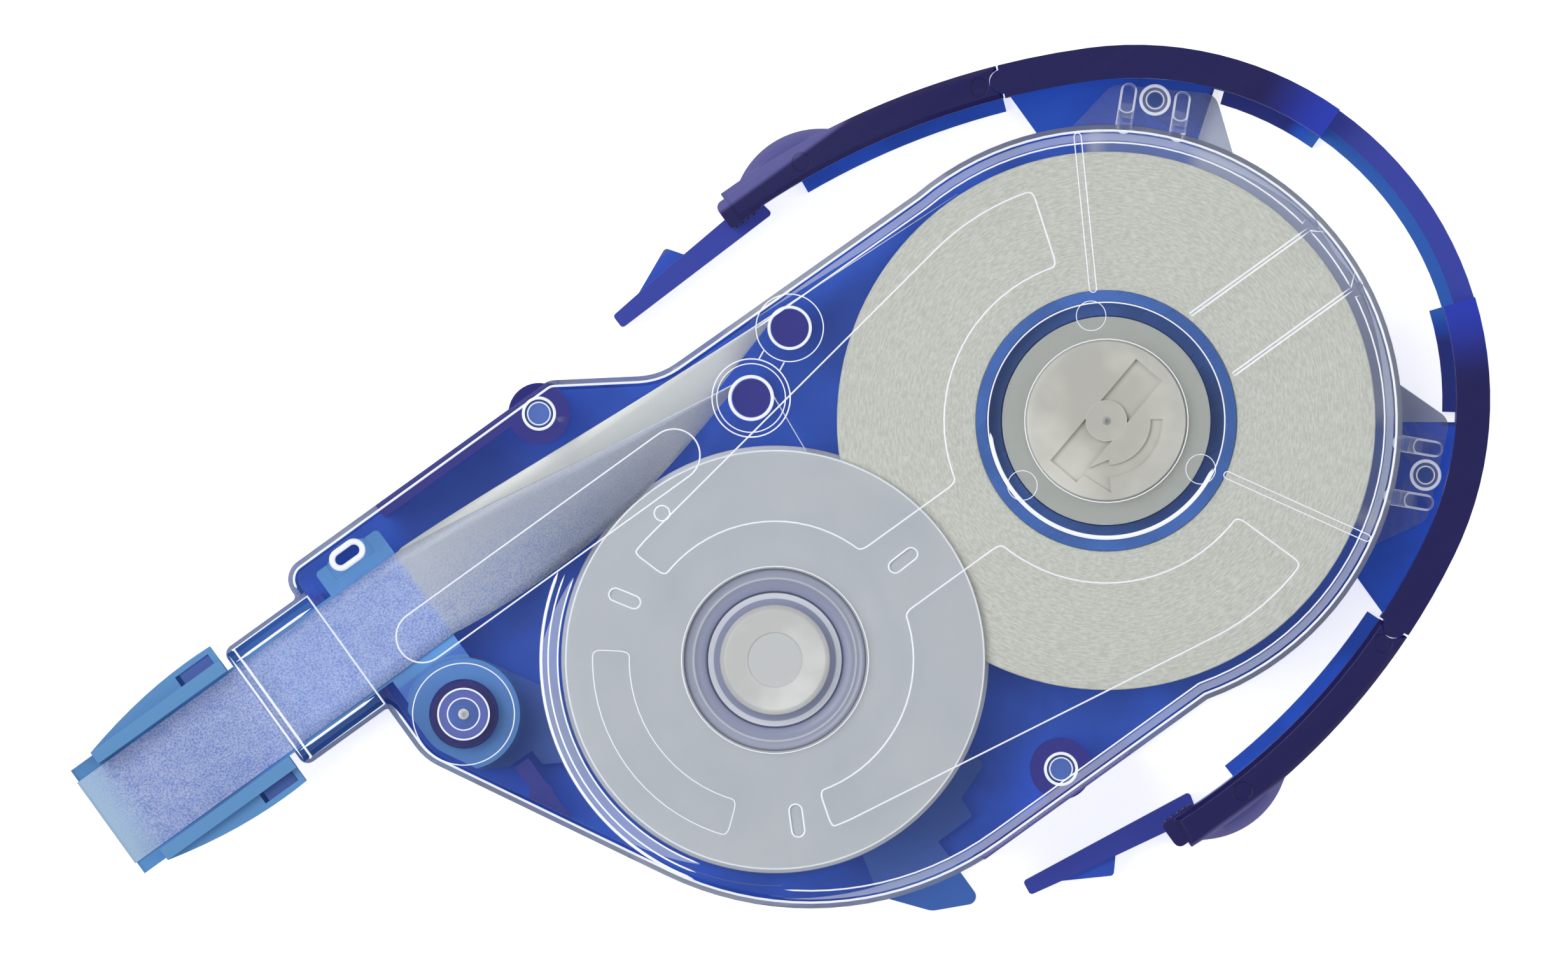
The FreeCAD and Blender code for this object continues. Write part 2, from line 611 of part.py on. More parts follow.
def tongue():
    """Flat blade along -X that thins to the tip's edge."""
    taper_x = tip_x + 7.5
    half_edge = tip_edge_thickness / 2
    profile = [(tip_x + 0.25, tape_middle - half_edge), (tip_x, tape_middle - half_edge * 0.4),
               (tip_x, tape_middle + half_edge * 0.4), (tip_x + 0.25, tape_middle + half_edge),
               (taper_x, tongue_high), (tongue_back_x, tongue_high),
               (tongue_back_x, tongue_low), (taper_x, tongue_low)]
    wire = Part.makePolygon([Vector(x, 0, z) for x, z in profile + profile[:1]])
    blade = Part.Face(wire).extrude(Vector(0, 2 * tip_half_width, 0))
    blade.translate(Vector(0, nose_y - tip_half_width, 0))
    waist = block(guard_front_x + 0.5, tongue_back_x, nose_y - tongue_half_width, nose_y + tongue_half_width, 0, 20)
    front = block(tip_x - 1, guard_front_x + 0.6, nose_y - tip_half_width, nose_y + tip_half_width, 0, 20)
    return blade.common(waist.fuse(front))


tip_half_width = 5.35
tongue_back_x = PIVOT.x + 3.2
guard_front_x = tip_x + 2.3
guard_back_x = nose_front_x - side_gap - 2 * nose_half_width * math.radians(lever_swing) - 0.1


def guard(side):
    """Wall beside the tape with a wing that swells outwards and a pocket behind it."""
    inner = tongue_half_width
    rail = [(guard_front_x, inner), (guard_back_x, inner), (guard_back_x, inner + guard_thickness),
            (guard_front_x, inner + guard_thickness)]
    rail = prism([(x, nose_y + side * y) for x, y in rail][::side],
                 tape_middle - guard_height / 2, tape_middle + guard_height / 2)
    swell = Part.BSplineCurve()
    swell.interpolate([Vector(guard_front_x, nose_y + side * (inner + guard_thickness), 0),
                       Vector(guard_front_x + 3.7, nose_y + side * (inner + guard_thickness + 0.8), 0),
                       Vector(guard_front_x + 8.0, nose_y + side * (inner + guard_thickness + 1.35), 0),
                       Vector(guard_back_x, nose_y + side * (inner + guard_thickness + 1.4), 0)])
    corner = Vector(guard_back_x, nose_y + side * (inner + 0.2), 0)
    front = Vector(guard_front_x, nose_y + side * (inner + 0.2), 0)
    wire = Part.Wire([swell.toShape(), Part.LineSegment(swell.EndPoint, corner).toShape(),
                      Part.LineSegment(corner, front).toShape(),
                      Part.LineSegment(front, swell.StartPoint).toShape()])
    face = Part.Face(wire)
    wing_half = guard_height / 2 - 1.0
    face.translate(Z * (tape_middle - wing_half))
    wing = face.extrude(Z * (2 * wing_half))
    pocket_y = sorted((nose_y + side * (inner + guard_thickness), nose_y + side * (inner + guard_thickness + 0.95)))
    pocket = block(guard_back_x - 3.9, guard_back_x - 0.5, pocket_y[0], pocket_y[1], tape_middle, 20)
    return rail.fuse(wing.cut(pocket))


def lever_root():
    """Plate inside the body that joins the tongue to the eye, with the notch for the cover's catch."""
    right = tongue_back_x
    left = PIVOT.x - 3.3
    low = PIVOT.y - 1.0
    notch_half = 1.35 + (CLIP.y - PIVOT.y) * math.radians(lever_swing) + side_gap
    body = plate([(left, low, 0), (right, low, 0), (right, nose_y + 6.8, 0.4), (left, nose_y + 6.8, 0.4),
                  (left, nose_y + 3, 0)], tongue_low, tongue_high)
    body = body.cut(disc(PIVOT, pivot_boss_radius + running_gap, 0, 20))
    notch = block(CLIP.x - notch_half, CLIP.x + notch_half, CLIP.y - 1.1, CLIP.y + 3, 0, 20)
    return body.cut(notch)


def lever_arm():
    """Flat arm that runs round under the take-up reel to the finger tab outside the body."""
    inside = takeup_pitch_radius + tooth_addendum + 1.0
    outside = lower_flange_radius + 0.1
    middle = (inside + outside) / 2
    shoulder = polar(TAKEUP, middle, 168)
    neck = tangent_hull(PIVOT, eye_radius, shoulder, (outside - inside) / 2, arm_low, arm_high)
    sweep = sector(TAKEUP, inside, outside, 168, 130, arm_low, arm_high)
    reach = lower_outline_y - 2.6
    tab = plate([(TAKEUP.x - 3.0, -15, 0), (TAKEUP.x - 4.6, -21.4, 0), (TAKEUP.x - 1.7, reach + 1.6, 1.5),
                 (TAKEUP.x + 2.2, reach - 0.3, 0.7), (TAKEUP.x + 2.2, -15, 0)], arm_low, arm_high)
    heel = plate([(TAKEUP.x + 2.0, -15.5, 0), (TAKEUP.x + 2.0, -20.6, 0.3), (TAKEUP.x + 5.9, -20.6, 0.4),
                  (TAKEUP.x + 5.9, -18.8, 0.3), (TAKEUP.x + 9.3, -17.6, 0.4), (TAKEUP.x + 8.3, -15.4, 0)],
                 arm_low, arm_high)
    rib_room = side_gap + (PIVOT.y - STOP.y + 4) * math.radians(lever_swing)
    room = block(STOP.x - 0.7 - rib_room, STOP.x + 0.7 + rib_room, STOP.y - 4.0 - side_gap,
                 STOP.y + 4.0 + side_gap, 0, 20)
    room = room.fuse(disc(STOP + Vector(-0.2, 0.8, 0), 1.05 + rib_room, 0, 20))
    arm = union([neck, sweep, tab, heel]).cut(room)
    return arm.cut(disc(PIVOT, pivot_boss_radius + running_gap, 0, 20))


def applicator_lever():
    """Tip, guards, root, eye, arm and finger tab in one moulding."""
    eye = ring(PIVOT, pivot_boss_radius + running_gap, eye_radius - 0.1, arm_low, tongue_high + 0.6)
    shape = union([tongue(), lever_root(), eye, lever_arm(), guard(1), guard(-1)])
    inside = body_prism(skirt_wall + side_gap, 0, 20)
    channel = nose_half_width - skirt_wall - side_gap
    outside = union_loose([block(tip_x - 5, nose_front_x, nose_y - 15, nose_y + 15, 0, 20),
                           block(tip_x - 5, left_x + 3, nose_y - channel, nose_y + channel, 0, 20),
                           block(TAKEUP.x - 6.0, TAKEUP.x + 3.5, -40, -15, 0, arm_high + 1)])
    return shape.common(union_loose([inside, outside]))


# ================================================================== supply side
def drive_gear():
    """Large gear under the roll, with a keyed bore."""
    shape = gear(SUPPLY, supply_teeth, 0, gear_bottom, gear_top)
    shape = shape.cut(disc(SUPPLY, hub_tube_radius + seat_gap, 0, 20))
    keys = [slot(polar(SUPPLY, hub_tube_radius - 0.3, i * 90), polar(SUPPLY, hub_tube_radius + 0.9, i * 90),
                 0.6 + seat_gap, 0, 20) for i in range(4)]
    return shape.cut(union_loose(keys))


hub_tube_radius = 4.2
hub_disc_radius = 8.8
hub_top = upper_flange_top
hub_face_radius = 6.7


def clutch_hub():
    """Hub with four keys below, a skirt that carries the core, and a coin slot and arrow on top."""
    bore = hub_spindle_radius + running_gap
    shapes = [ring(SUPPLY, bore, hub_tube_radius, gear_bottom, hub_top - 1.0),
              disc(SUPPLY, hub_disc_radius, hub_top - 1.6, hub_top - 0.5),
              disc(SUPPLY, hub_face_radius, hub_top - 0.6, hub_top),
              ring(SUPPLY, hub_disc_radius - 0.9, hub_disc_radius, gear_top + 3.6, hub_top - 0.6)]
    shapes += [slot(polar(SUPPLY, hub_tube_radius - 0.3, i * 90), polar(SUPPLY, hub_tube_radius + 0.9, i * 90),
                    0.6, gear_bottom, gear_top + 3.0) for i in range(4)]
    shape = union(shapes).cut(disc(SUPPLY, bore, 0, hub_spindle_top + layer_gap))
    slot_heading = 14.0
    coin = slot_bar(11.2, 2.9, slot_heading, hub_top - 0.45, hub_top + 1)
    boss = disc(SUPPLY, 1.75, hub_top - 0.6, hub_top)
    head = [polar(SUPPLY, 3.3, 238), polar(SUPPLY, 6.1, 238), polar(SUPPLY, 4.9, 206)]
    arrow = [sector(SUPPLY, 3.75, 4.75, 238, 88, hub_top - 0.3, hub_top + 1),
             prism([(p.x, p.y) for p in head], hub_top - 0.3, hub_top + 1)]
    dimple = disc(SUPPLY, 0.35, hub_top - 0.2, hub_top + 1)
    return shape.cut(coin).fuse(boss).removeSplitter().cut(union_loose(arrow + [dimple]))


def slot_bar(length, width, heading, low, high):
    """Rectangular bar through the supply axis."""
    bar = block(-length / 2, length / 2, -width / 2, width / 2, low, high)
    bar.rotate(Vector(), Z, heading)
    return bar


def clutch_ring():
    """Spring ring with four key notches and three arms whose pawls rub inside the core."""
    low, high = gear_top, gear_top + 2.6
    inside = hub_tube_radius + seat_gap
    shapes = [ring(SUPPLY, inside, inside + 1.6, low, high)]
    pawl_reach = core_radius - core_wall - 0.25
    for i in range(3):
        foot = i * 120 + 45
        shapes.append(sector(SUPPLY, inside + 1.2, inside + 2.9, foot, 14, low, high))
        shapes.append(sector(SUPPLY, inside + 2.4, inside + 3.2, foot, 75, low, high))
        tip = polar(SUPPLY, inside + 3.0, foot + 75)
        shapes.append(tangent_hull(tip, 0.6, polar(SUPPLY, pawl_reach - 0.45, foot + 78), 0.45, low, high))
    shape = union(shapes)
    keys = [slot(polar(SUPPLY, hub_tube_radius - 0.3, i * 90), polar(SUPPLY, hub_tube_radius + 0.9, i * 90),
                 0.6 + seat_gap, 0, 20) for i in range(4)]
    return shape.cut(union_loose(keys))


def supply_core():
    """Sleeve that the fresh tape is wound on, with a bearing web and shallow detents for the clutch."""
    low, high = gear_top + layer_gap, tape_top + layer_gap
    inside = core_radius - core_wall
    shape = ring(SUPPLY, inside, core_radius, low, high)
    web = ring(SUPPLY, hub_disc_radius + running_gap, inside + 0.1, tape_middle + 0.4, tape_middle + 1.8)
    shape = union([shape, web])
    detents = []
    for i in range(12):
        notch = [polar(SUPPLY, inside - 0.3, i * 30 - 3), polar(SUPPLY, inside + 0.35, i * 30),
                 polar(SUPPLY, inside - 0.3, i * 30 + 3)]
        detents.append(prism([(p.x, p.y) for p in notch], low - 1, low + 2.8))
    return shape.cut(union_loose(detents))


def supply_roll():
    """Fresh tape wound on the core."""
    return ring(SUPPLY, core_radius, roll_radius, tape_bottom, tape_top)


# ================================================================== take-up side
takeup_hub_radius = 5.65
cap_radius = 4.65
flange_hole_radius = drum_radius - drum_wall - 2.3


def takeup_gear():
    """Small gear with the drum, the bearing tube and the web between them."""
    bore = takeup_spindle_radius + running_gap
    half_tooth = 180 / takeup_teeth
    hub_top_level = tape_top - 0.6
    shapes = [gear(TAKEUP, takeup_teeth, half_tooth, gear_bottom, gear_top),
              disc(TAKEUP, drum_radius + 0.6, gear_top, lower_flange_bottom),
              ring(TAKEUP, drum_radius - drum_wall, drum_radius, gear_top, upper_flange_bottom),
              ring(TAKEUP, takeup_hub_radius - 0.9, takeup_hub_radius, gear_top, hub_top_level),
              ring(TAKEUP, bore, takeup_hub_radius, hub_top_level - 0.8, hub_top_level)]
    return union(shapes).cut(disc(TAKEUP, bore, 0, hub_top_level))


def takeup_lower_flange():
    """Thin disc under the used tape."""
    return ring(TAKEUP, drum_radius, lower_flange_radius, lower_flange_bottom, lower_flange_top)


def takeup_upper_flange():
    """Translucent disc over the used tape, with a collar inside the drum and three slots."""
    low, high = upper_flange_bottom, upper_flange_top
    shape = ring(TAKEUP, flange_hole_radius, upper_flange_radius, low, high)
    collar = ring(TAKEUP, flange_hole_radius, flange_hole_radius + 0.8, low - 1.6, low + 0.1)
    shape = union([shape, collar])
    slots = [slot(polar(TAKEUP, 12.85, angle), polar(TAKEUP, 14.55, angle), 0.5, low - 1, high + 1)
             for angle in (2, 122, 242)]
    return shape.cut(union_loose(slots))


def takeup_cap():
    """White cap over the end of the take-up spindle."""
    low, high = tape_top - 0.6, cover_top - 0.4
    cap = disc(TAKEUP, cap_radius, low, high)
    cap = soften(cap, high, 0.4)
    return cap.cut(disc(TAKEUP, 2.3, high - 0.15, high + 1))


def takeup_winding():
    """First turns of used tape on the drum."""
    return ring(TAKEUP, drum_radius, drum_radius + winding_thickness, tape_bottom, tape_top)


# ================================================================== tape runs
def tip_tape():
    """Tape under the tongue, round the tip's edge and back over the tongue."""
    back_x = tongue_back_x + 0.1
    taper_x = tip_x + 7.5
    half_edge = tip_edge_thickness / 2
    gap = 0.04
    inner = [(back_x, tongue_low - gap), (taper_x, tongue_low - gap), (tip_x + 0.2, tape_middle - half_edge - gap),
             (tip_x - gap, tape_middle - half_edge * 0.4), (tip_x - gap, tape_middle + half_edge * 0.4),
             (tip_x + 0.2, tape_middle + half_edge + gap), (taper_x, tongue_high + gap), (back_x, tongue_high + gap)]
    reach = tape_thickness + gap
    outer = [(back_x, tongue_low - reach), (taper_x, tongue_low - reach),
             (tip_x + 0.1, tape_middle - half_edge - reach), (tip_x - reach, tape_middle - half_edge * 0.4),
             (tip_x - reach, tape_middle + half_edge * 0.4), (tip_x + 0.1, tape_middle + half_edge + reach),
             (taper_x, tongue_high + reach), (back_x, tongue_high + reach)]
    profile = inner + outer[::-1]
    wire = Part.makePolygon([Vector(x, nose_y - tape_width / 2, z) for x, z in profile + profile[:1]])
    return Part.Face(wire).extrude(Vector(0, tape_width, 0))


def ribbon(stations):
    """Tape through (centre, heading, twist) stations; a twist of 0 lies flat and 90 stands on edge."""
    sections = []
    for centre, heading, twist in stations:
        ahead = polar(Vector(), 1, heading)
        beside = Vector(-ahead.y, ahead.x, 0)
        across = beside * math.cos(math.radians(twist)) + Z * math.sin(math.radians(twist))
        normal = across.cross(ahead)
        half, thin = across * (tape_width / 2), normal * (tape_thickness / 2)
        sections.append([centre - half - thin, centre + half - thin, centre + half + thin, centre - half + thin])
    triangles = []
    for back, front in zip(sections, sections[1:]):
        for i in range(4):
            j = (i + 1) % 4
            if i < 2:
                triangles += [(back[i], back[j], front[j]), (back[i], front[j], front[i])]
            else:
                triangles += [(back[i], back[j], front[i]), (back[j], front[j], front[i])]
    for a, b, c, d in (sections[0][::-1], sections[-1]):
        triangles += [(a, b, c), (a, c, d)]
    faces = [Part.Face(Part.makePolygon([a, b, c, a])) for a, b, c in triangles]
    shell = Part.makeShell(faces)
    shell.sewShape()
    solid = Part.makeSolid(shell)
    if solid.Volume < 0:
        solid.reverse()
    return solid


def twisting_run(start, end, steps):
    """Stations from the tongue's back, where the tape lies flat, to a post, where it stands on edge."""
    run = end - start
    heading = math.degrees(math.atan2(run.y, run.x))
    stations = []
    for i in range(steps + 1):
        share = i / steps
        sag = Vector(0, -0.9, 0.8 * (1 - share)) * math.sin(math.pi * share)
        stations.append((start + run * share + sag, heading, 90 * share))
    return stations


def bent_run(centre, radius, start, sweep, steps):
    """Stations on edge round a post, from a start angle through a sweep, travelling with the sweep's sign."""
    turn = 90 if sweep > 0 else -90
    return [(polar(centre, radius, start + sweep * i / steps) + Z * tape_middle,
             start + sweep * i / steps + turn, 90) for i in range(steps + 1)]


def outer_tangent(first, first_radius, second, second_radius, side):
    """Angle, seen from both centres, of the tangent on one side of two rounds."""
    along = second - first
    heading = math.degrees(math.atan2(along.y, along.x))
    return heading + side * math.degrees(math.acos((first_radius - second_radius) / along.Length))


def feed_tape():
    """Fresh tape from the tongue's underside, over the feed post, to the roll."""
    wrap = post_radius + 0.1 + tape_thickness / 2
    roll_wrap = roll_radius + 0.1 + tape_thickness / 2
    angle = outer_tangent(POST_FEED, wrap, SUPPLY, roll_wrap, 1)
    start = Vector(tongue_back_x + 0.9, nose_y + 0.1, tongue_low - 0.1)
    on_post = polar(POST_FEED, wrap, 93) + Z * tape_middle
    stations = twisting_run(start, on_post, 10)[:-1]
    stations += bent_run(POST_FEED, wrap, 93, angle - 93, 2)
    stations.append((polar(SUPPLY, roll_wrap, angle) + Z * tape_middle, angle - 90, 90))
    return ribbon(stations)


def return_tape():
    """Used tape from the tongue's top, over the return post, to the take-up drum."""
    wrap = post_radius + 0.1 + tape_thickness / 2
    drum_wrap = drum_radius + winding_thickness + 0.05 + tape_thickness / 2
    angle = outer_tangent(POST_RETURN, wrap, TAKEUP, drum_wrap, 1)
    start = Vector(tongue_back_x + 0.9, nose_y - 0.1, tongue_high + 0.1)
    on_post = polar(POST_RETURN, wrap, 88) + Z * tape_middle
    stations = twisting_run(start, on_post, 10)[:-1]
    stations += bent_run(POST_RETURN, wrap, 88, angle - 88, 5)
    stations.append((polar(TAKEUP, drum_wrap, angle) + Z * tape_middle, angle - 90, 90))
    return ribbon(stations)


# ================================================================== nodes
NODES = {
    "base": base,
    "upper_release_arm": lambda: release_arm(UPPER_ARM),
    "lower_release_arm": lambda: release_arm(LOWER_ARM),
    "cover": cover,
    "applicator_lever": applicator_lever,
    "drive_gear": drive_gear,
    "clutch_hub": clutch_hub,
    "clutch_ring": clutch_ring,
    "supply_core": supply_core,
    "supply_roll": supply_roll,
    "takeup_gear": takeup_gear,
    "takeup_lower_flange": takeup_lower_flange,
    "takeup_upper_flange": takeup_upper_flange,
    "takeup_cap": takeup_cap,
    "takeup_winding": takeup_winding,
    "tip_tape": tip_tape,
    "feed_tape": feed_tape,
    "return_tape": return_tape,
}

os.makedirs("parts", exist_ok=True)
for name, make in NODES.items():
    shape = make()
    shape.exportStep("parts/" + name + ".step")
    print(name, len(shape.Solids), round(shape.Volume, 2), shape.isValid())
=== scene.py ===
"""Looks of a correction tape refill: a clear covered blue tray with two reels, a tape run and a nose.

Lengths in the code are millimetres until a mesh is made, and +Z points up out of the tray.
"""

import json
import math

import bmesh
import bpy
import numpy as np
from mathutils import Matrix, Vector

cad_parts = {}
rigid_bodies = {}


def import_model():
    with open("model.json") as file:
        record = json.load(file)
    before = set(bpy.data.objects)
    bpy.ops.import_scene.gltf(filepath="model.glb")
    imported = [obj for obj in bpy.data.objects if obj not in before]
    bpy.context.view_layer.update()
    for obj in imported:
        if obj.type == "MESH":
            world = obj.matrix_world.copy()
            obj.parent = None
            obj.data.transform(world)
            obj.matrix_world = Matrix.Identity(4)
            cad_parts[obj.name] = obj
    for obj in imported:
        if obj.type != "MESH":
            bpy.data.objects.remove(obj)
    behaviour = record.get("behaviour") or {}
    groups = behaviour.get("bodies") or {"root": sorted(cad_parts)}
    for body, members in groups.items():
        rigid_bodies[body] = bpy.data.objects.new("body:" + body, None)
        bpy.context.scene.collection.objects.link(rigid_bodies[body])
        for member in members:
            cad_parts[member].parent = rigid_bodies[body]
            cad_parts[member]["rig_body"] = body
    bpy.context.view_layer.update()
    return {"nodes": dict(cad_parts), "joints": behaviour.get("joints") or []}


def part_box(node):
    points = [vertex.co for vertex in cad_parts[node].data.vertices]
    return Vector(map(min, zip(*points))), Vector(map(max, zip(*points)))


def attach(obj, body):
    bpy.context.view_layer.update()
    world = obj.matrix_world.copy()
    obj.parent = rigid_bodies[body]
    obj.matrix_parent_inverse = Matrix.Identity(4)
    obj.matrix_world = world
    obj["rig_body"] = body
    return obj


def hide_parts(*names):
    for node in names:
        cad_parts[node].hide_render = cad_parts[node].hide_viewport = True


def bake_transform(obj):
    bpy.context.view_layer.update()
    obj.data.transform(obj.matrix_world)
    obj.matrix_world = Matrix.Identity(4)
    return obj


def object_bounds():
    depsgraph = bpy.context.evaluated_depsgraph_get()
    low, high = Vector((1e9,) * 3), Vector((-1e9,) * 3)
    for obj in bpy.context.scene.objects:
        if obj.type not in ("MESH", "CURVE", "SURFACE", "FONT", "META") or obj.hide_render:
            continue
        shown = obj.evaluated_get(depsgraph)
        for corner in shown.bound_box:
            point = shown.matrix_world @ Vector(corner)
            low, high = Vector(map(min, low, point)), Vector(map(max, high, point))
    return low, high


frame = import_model()

MM = 0.001
NODES = frame["nodes"]
BODY_OF = {name: node["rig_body"] for name, node in NODES.items()}
SLOT_OF = {
    name: node.data.materials[0].name.split(".")[0] for name, node in NODES.items() if node.data.materials
}


def node_box(name):
    """Lowest and highest corner of a CAD node, in millimetres."""
    low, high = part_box(name)
    return np.array(low) / MM, np.array(high) / MM


def joint_point(name):
    """Where a joint's axis passes, in millimetres."""
    for joint in frame["joints"]:
        if joint["name"] == name:
            return np.array(joint["pos_m"]) / MM
    raise KeyError(name)


# ---------------------------------------------------------------- places

SUPPLY = joint_point("hub_spin")
TAKEUP = joint_point("takeup_spin")
PIVOT = joint_point("lever_swing")


def half_width(name):
    """Half of a CAD node's extent along X: the radius of a round piece."""
    low, high = node_box(name)
    return (high[0] - low[0]) / 2


# levels
TRAY_FLOOR = 1.2
NOSE_TOP = 12.9
COVER_TOP = 14.7
CORE_TOP = COVER_TOP - 0.95     # of the coloured cores that show through the cover's clear pins
HUB_TOP = node_box("clutch_hub")[1][2]
FLANGE_TOP = node_box("takeup_upper_flange")[1][2]
TONGUE_TOP = node_box("tip_tape")[1][2]
TAPE_LOW, TAPE_HIGH = node_box("supply_roll")[0][2], node_box("supply_roll")[1][2]
TAPE_MIDDLE = (TAPE_LOW + TAPE_HIGH) / 2

# radii
ROLL_RADIUS = half_width("supply_roll")
FLANGE_RADIUS = half_width("takeup_upper_flange")
DRUM_RADIUS = half_width("takeup_winding")
SKIRT_RADIUS = node_box("cover")[1][0] - SUPPLY[0]
BOW_RADIUS = 30.0
POST_WRAP = 1.71                # of the tape's middle round a guide post

# along the nose and the bow
TIP_X = node_box("applicator_lever")[0][0]
NOSE_X = node_box("base")[0][0]
SHOULDER_X = PIVOT[0] - 4.9     # where the nose meets the body
TONGUE_BACK_X = node_box("tip_tape")[1][0] - 0.1
BOW_X = node_box("base")[1][0] - BOW_RADIUS
NOSE_Y = (node_box("tip_tape")[0][1] + node_box("tip_tape")[1][1]) / 2

# posts, pins and catches
POST_FEED = TAKEUP + np.array([17.4, 22.0, 0])
POST_RETURN = TAKEUP + np.array([11.3, 19.1, 0])
PIN_ANGLE = 45.4
PIN_REACH = 27.5
CLIP = np.array([PIVOT[0] - 0.1, NOSE_Y + 6.45, 0.0])
BOSSES = (
    np.array([TAKEUP[0] - 4.0, NOSE_Y + 6.65, 0.0]),
    np.array([TAKEUP[0] + 14.2, -21.6, 0.0]),
)
SLOT_ANGLES = (2, 122, 242)     # of the take-up flange's three slots
SLOT_REACH = 13.7


# ---------------------------------------------------------------- materials


def linear(red, green, blue):
    """An 8-bit sRGB colour as the linear colour that a shader takes."""

    def channel(value):
        share = value / 255
        if share <= 0.04045:
            return share / 12.92
        return ((share + 0.055) / 1.055) ** 2.4

    return (channel(red), channel(green), channel(blue), 1.0)


class Value:
    """A number in a material's nodes. Arithmetic with it adds Math nodes."""

    def __init__(self, finish, socket):
        self.finish = finish
        self.socket = socket

    def _math(self, operation, *values):
        node = self.finish.node("ShaderNodeMath", {"operation": operation}, dict(enumerate(values)))
        return Value(self.finish, node.outputs[0])

    def __add__(self, other):
        return self._math("ADD", self, other)

    def __radd__(self, other):
        return self._math("ADD", other, self)

    def __sub__(self, other):
        return self._math("SUBTRACT", self, other)

    def __rsub__(self, other):
        return self._math("SUBTRACT", other, self)

    def __mul__(self, other):
        return self._math("MULTIPLY", self, other)

    def __rmul__(self, other):
        return self._math("MULTIPLY", other, self)

    def absolute(self):
        return self._math("ABSOLUTE", self)

    def root(self):
        return self._math("SQRT", self)

    def highest(self, other):
        return self._math("MAXIMUM", self, other)

    def angle_from(self, other):
        return self._math("ARCTAN2", self, other)

    def step(self, start, end):
        """0 before start, 1 after end, smooth between."""
        node = self.finish.node(
            "ShaderNodeMapRange",
            {"interpolation_type": "SMOOTHSTEP"},
            {"Value": self, "From Min": start, "From Max": end},
        )
        return Value(self.finish, node.outputs[0])

    def sweep(self, start, end):
        """A step between two angles, given in degrees."""
        return self.step(math.radians(start), math.radians(end))

    def band(self, rise, fall):
        """1 between two soft edges, each a (start, end) pair, and 0 outside them."""
        return self.step(*rise) * (1 - self.step(*fall))


class Finish:
    """A material made of nodes, with one Principled shader; tint is what feeds its Base Color."""

    def __init__(self, name, **constants):
        self.material = bpy.data.materials.new(name)
        self.material.use_nodes = True
        self.tree = self.material.node_tree
        self.tree.nodes.clear()
        self.output = self.tree.nodes.new("ShaderNodeOutputMaterial")
        self.shader = self.node("ShaderNodeBsdfPrincipled", {}, constants)
        self.tree.links.new(self.shader.outputs[0], self.output.inputs["Surface"])
        place = self.node("ShaderNodeTexCoord").outputs["Object"]
        scaled = self.node("ShaderNodeVectorMath", {"operation": "SCALE"}, {0: place, "Scale": 1 / MM})
        self.place = scaled.outputs[0]
        parts = self.node("ShaderNodeSeparateXYZ", {}, {0: self.place})
        self.x, self.y, self.z = (Value(self, parts.outputs[axis]) for axis in range(3))

    def node(self, kind, settings=None, inputs=None):
        """Adds a node: its settings first, then its sockets' values or links."""
        node = self.tree.nodes.new(kind)
        for name, value in (settings or {}).items():
            setattr(node, name, value)
        for key, value in (inputs or {}).items():
            socket = node.inputs[key]
            if isinstance(value, Value):
                value = value.socket
            if isinstance(value, bpy.types.NodeSocket):
                self.tree.links.new(value, socket)
            else:
                socket.default_value = value
        return node

    def feed(self, **sockets):
        """Links what changes over the surface into the shader."""
        for name, value in sockets.items():
            socket = self.shader.inputs[name.replace("_", " ")]
            source = value.socket if isinstance(value, Value) else value
            self.tree.links.new(source, socket)
            if name == "Base_Color":
                self.tint = source

    def noise(self, scale, detail=3.0, stretch=(1, 1, 1)):
        """Cloudy values near 0.5, with `scale` clouds to the millimetre."""
        spot = self.node("ShaderNodeMapping", {}, {"Vector": self.place, "Scale": stretch})
        inputs = {"Vector": spot.outputs[0], "Scale": scale, "Detail": detail}
        return Value(self, self.node("ShaderNodeTexNoise", {}, inputs).outputs["Fac"])

    def blend(self, share, first, second):
        """A colour between two colours or links."""
        node = self.node("ShaderNodeMix", {"data_type": "RGBA"}, {0: share, 6: first, 7: second})
        return node.outputs[2]

    def bump(self, height, depth):
        """A normal tilted by height, where 1 stands for depth in millimetres."""
        inputs = {"Height": height, "Distance": depth * MM, "Strength": 1.0}
        return self.node("ShaderNodeBump", {}, inputs).outputs[0]

    def distance(self, centre):
        """Distance from an upright axis, in millimetres."""
        across = self.x - float(centre[0])
        along = self.y - float(centre[1])
        return (across * across + along * along).root()


def moulded(name, colour, deep=None, roughness=0.32, heights=(2.0, 9.0), grain=0.004):
    """Injection moulded plastic. Tall walls take the deep colour, as tinted plastic does."""
    finish = Finish(name, Roughness=roughness)
    clouds = finish.noise(0.12)
    streaks = finish.noise(0.35, stretch=(0.3, 1.6, 1.0))
    pale = linear(*[min(255, c * 1.06 + 4) for c in colour])
    dim = linear(*[c * 0.94 for c in colour])
    tint = finish.blend(clouds.step(0.35, 0.65), dim, pale)
    if deep is not None:
        tint = finish.blend(finish.z.step(*heights), tint, linear(*deep))
    finish.feed(Base_Color=tint)
    finish.feed(Roughness=roughness + (streaks - 0.5) * 0.12)
    finish.feed(Normal=finish.bump(finish.noise(2.6, 2.0), grain))
    return finish


def glow(finish, tint, strength):
    """Light that scatters inside a tinted plastic, so that its pockets don't go black."""
    finish.feed(Base_Color=tint, Emission_Color=tint)
    finish.shader.inputs["Emission Strength"].default_value = strength


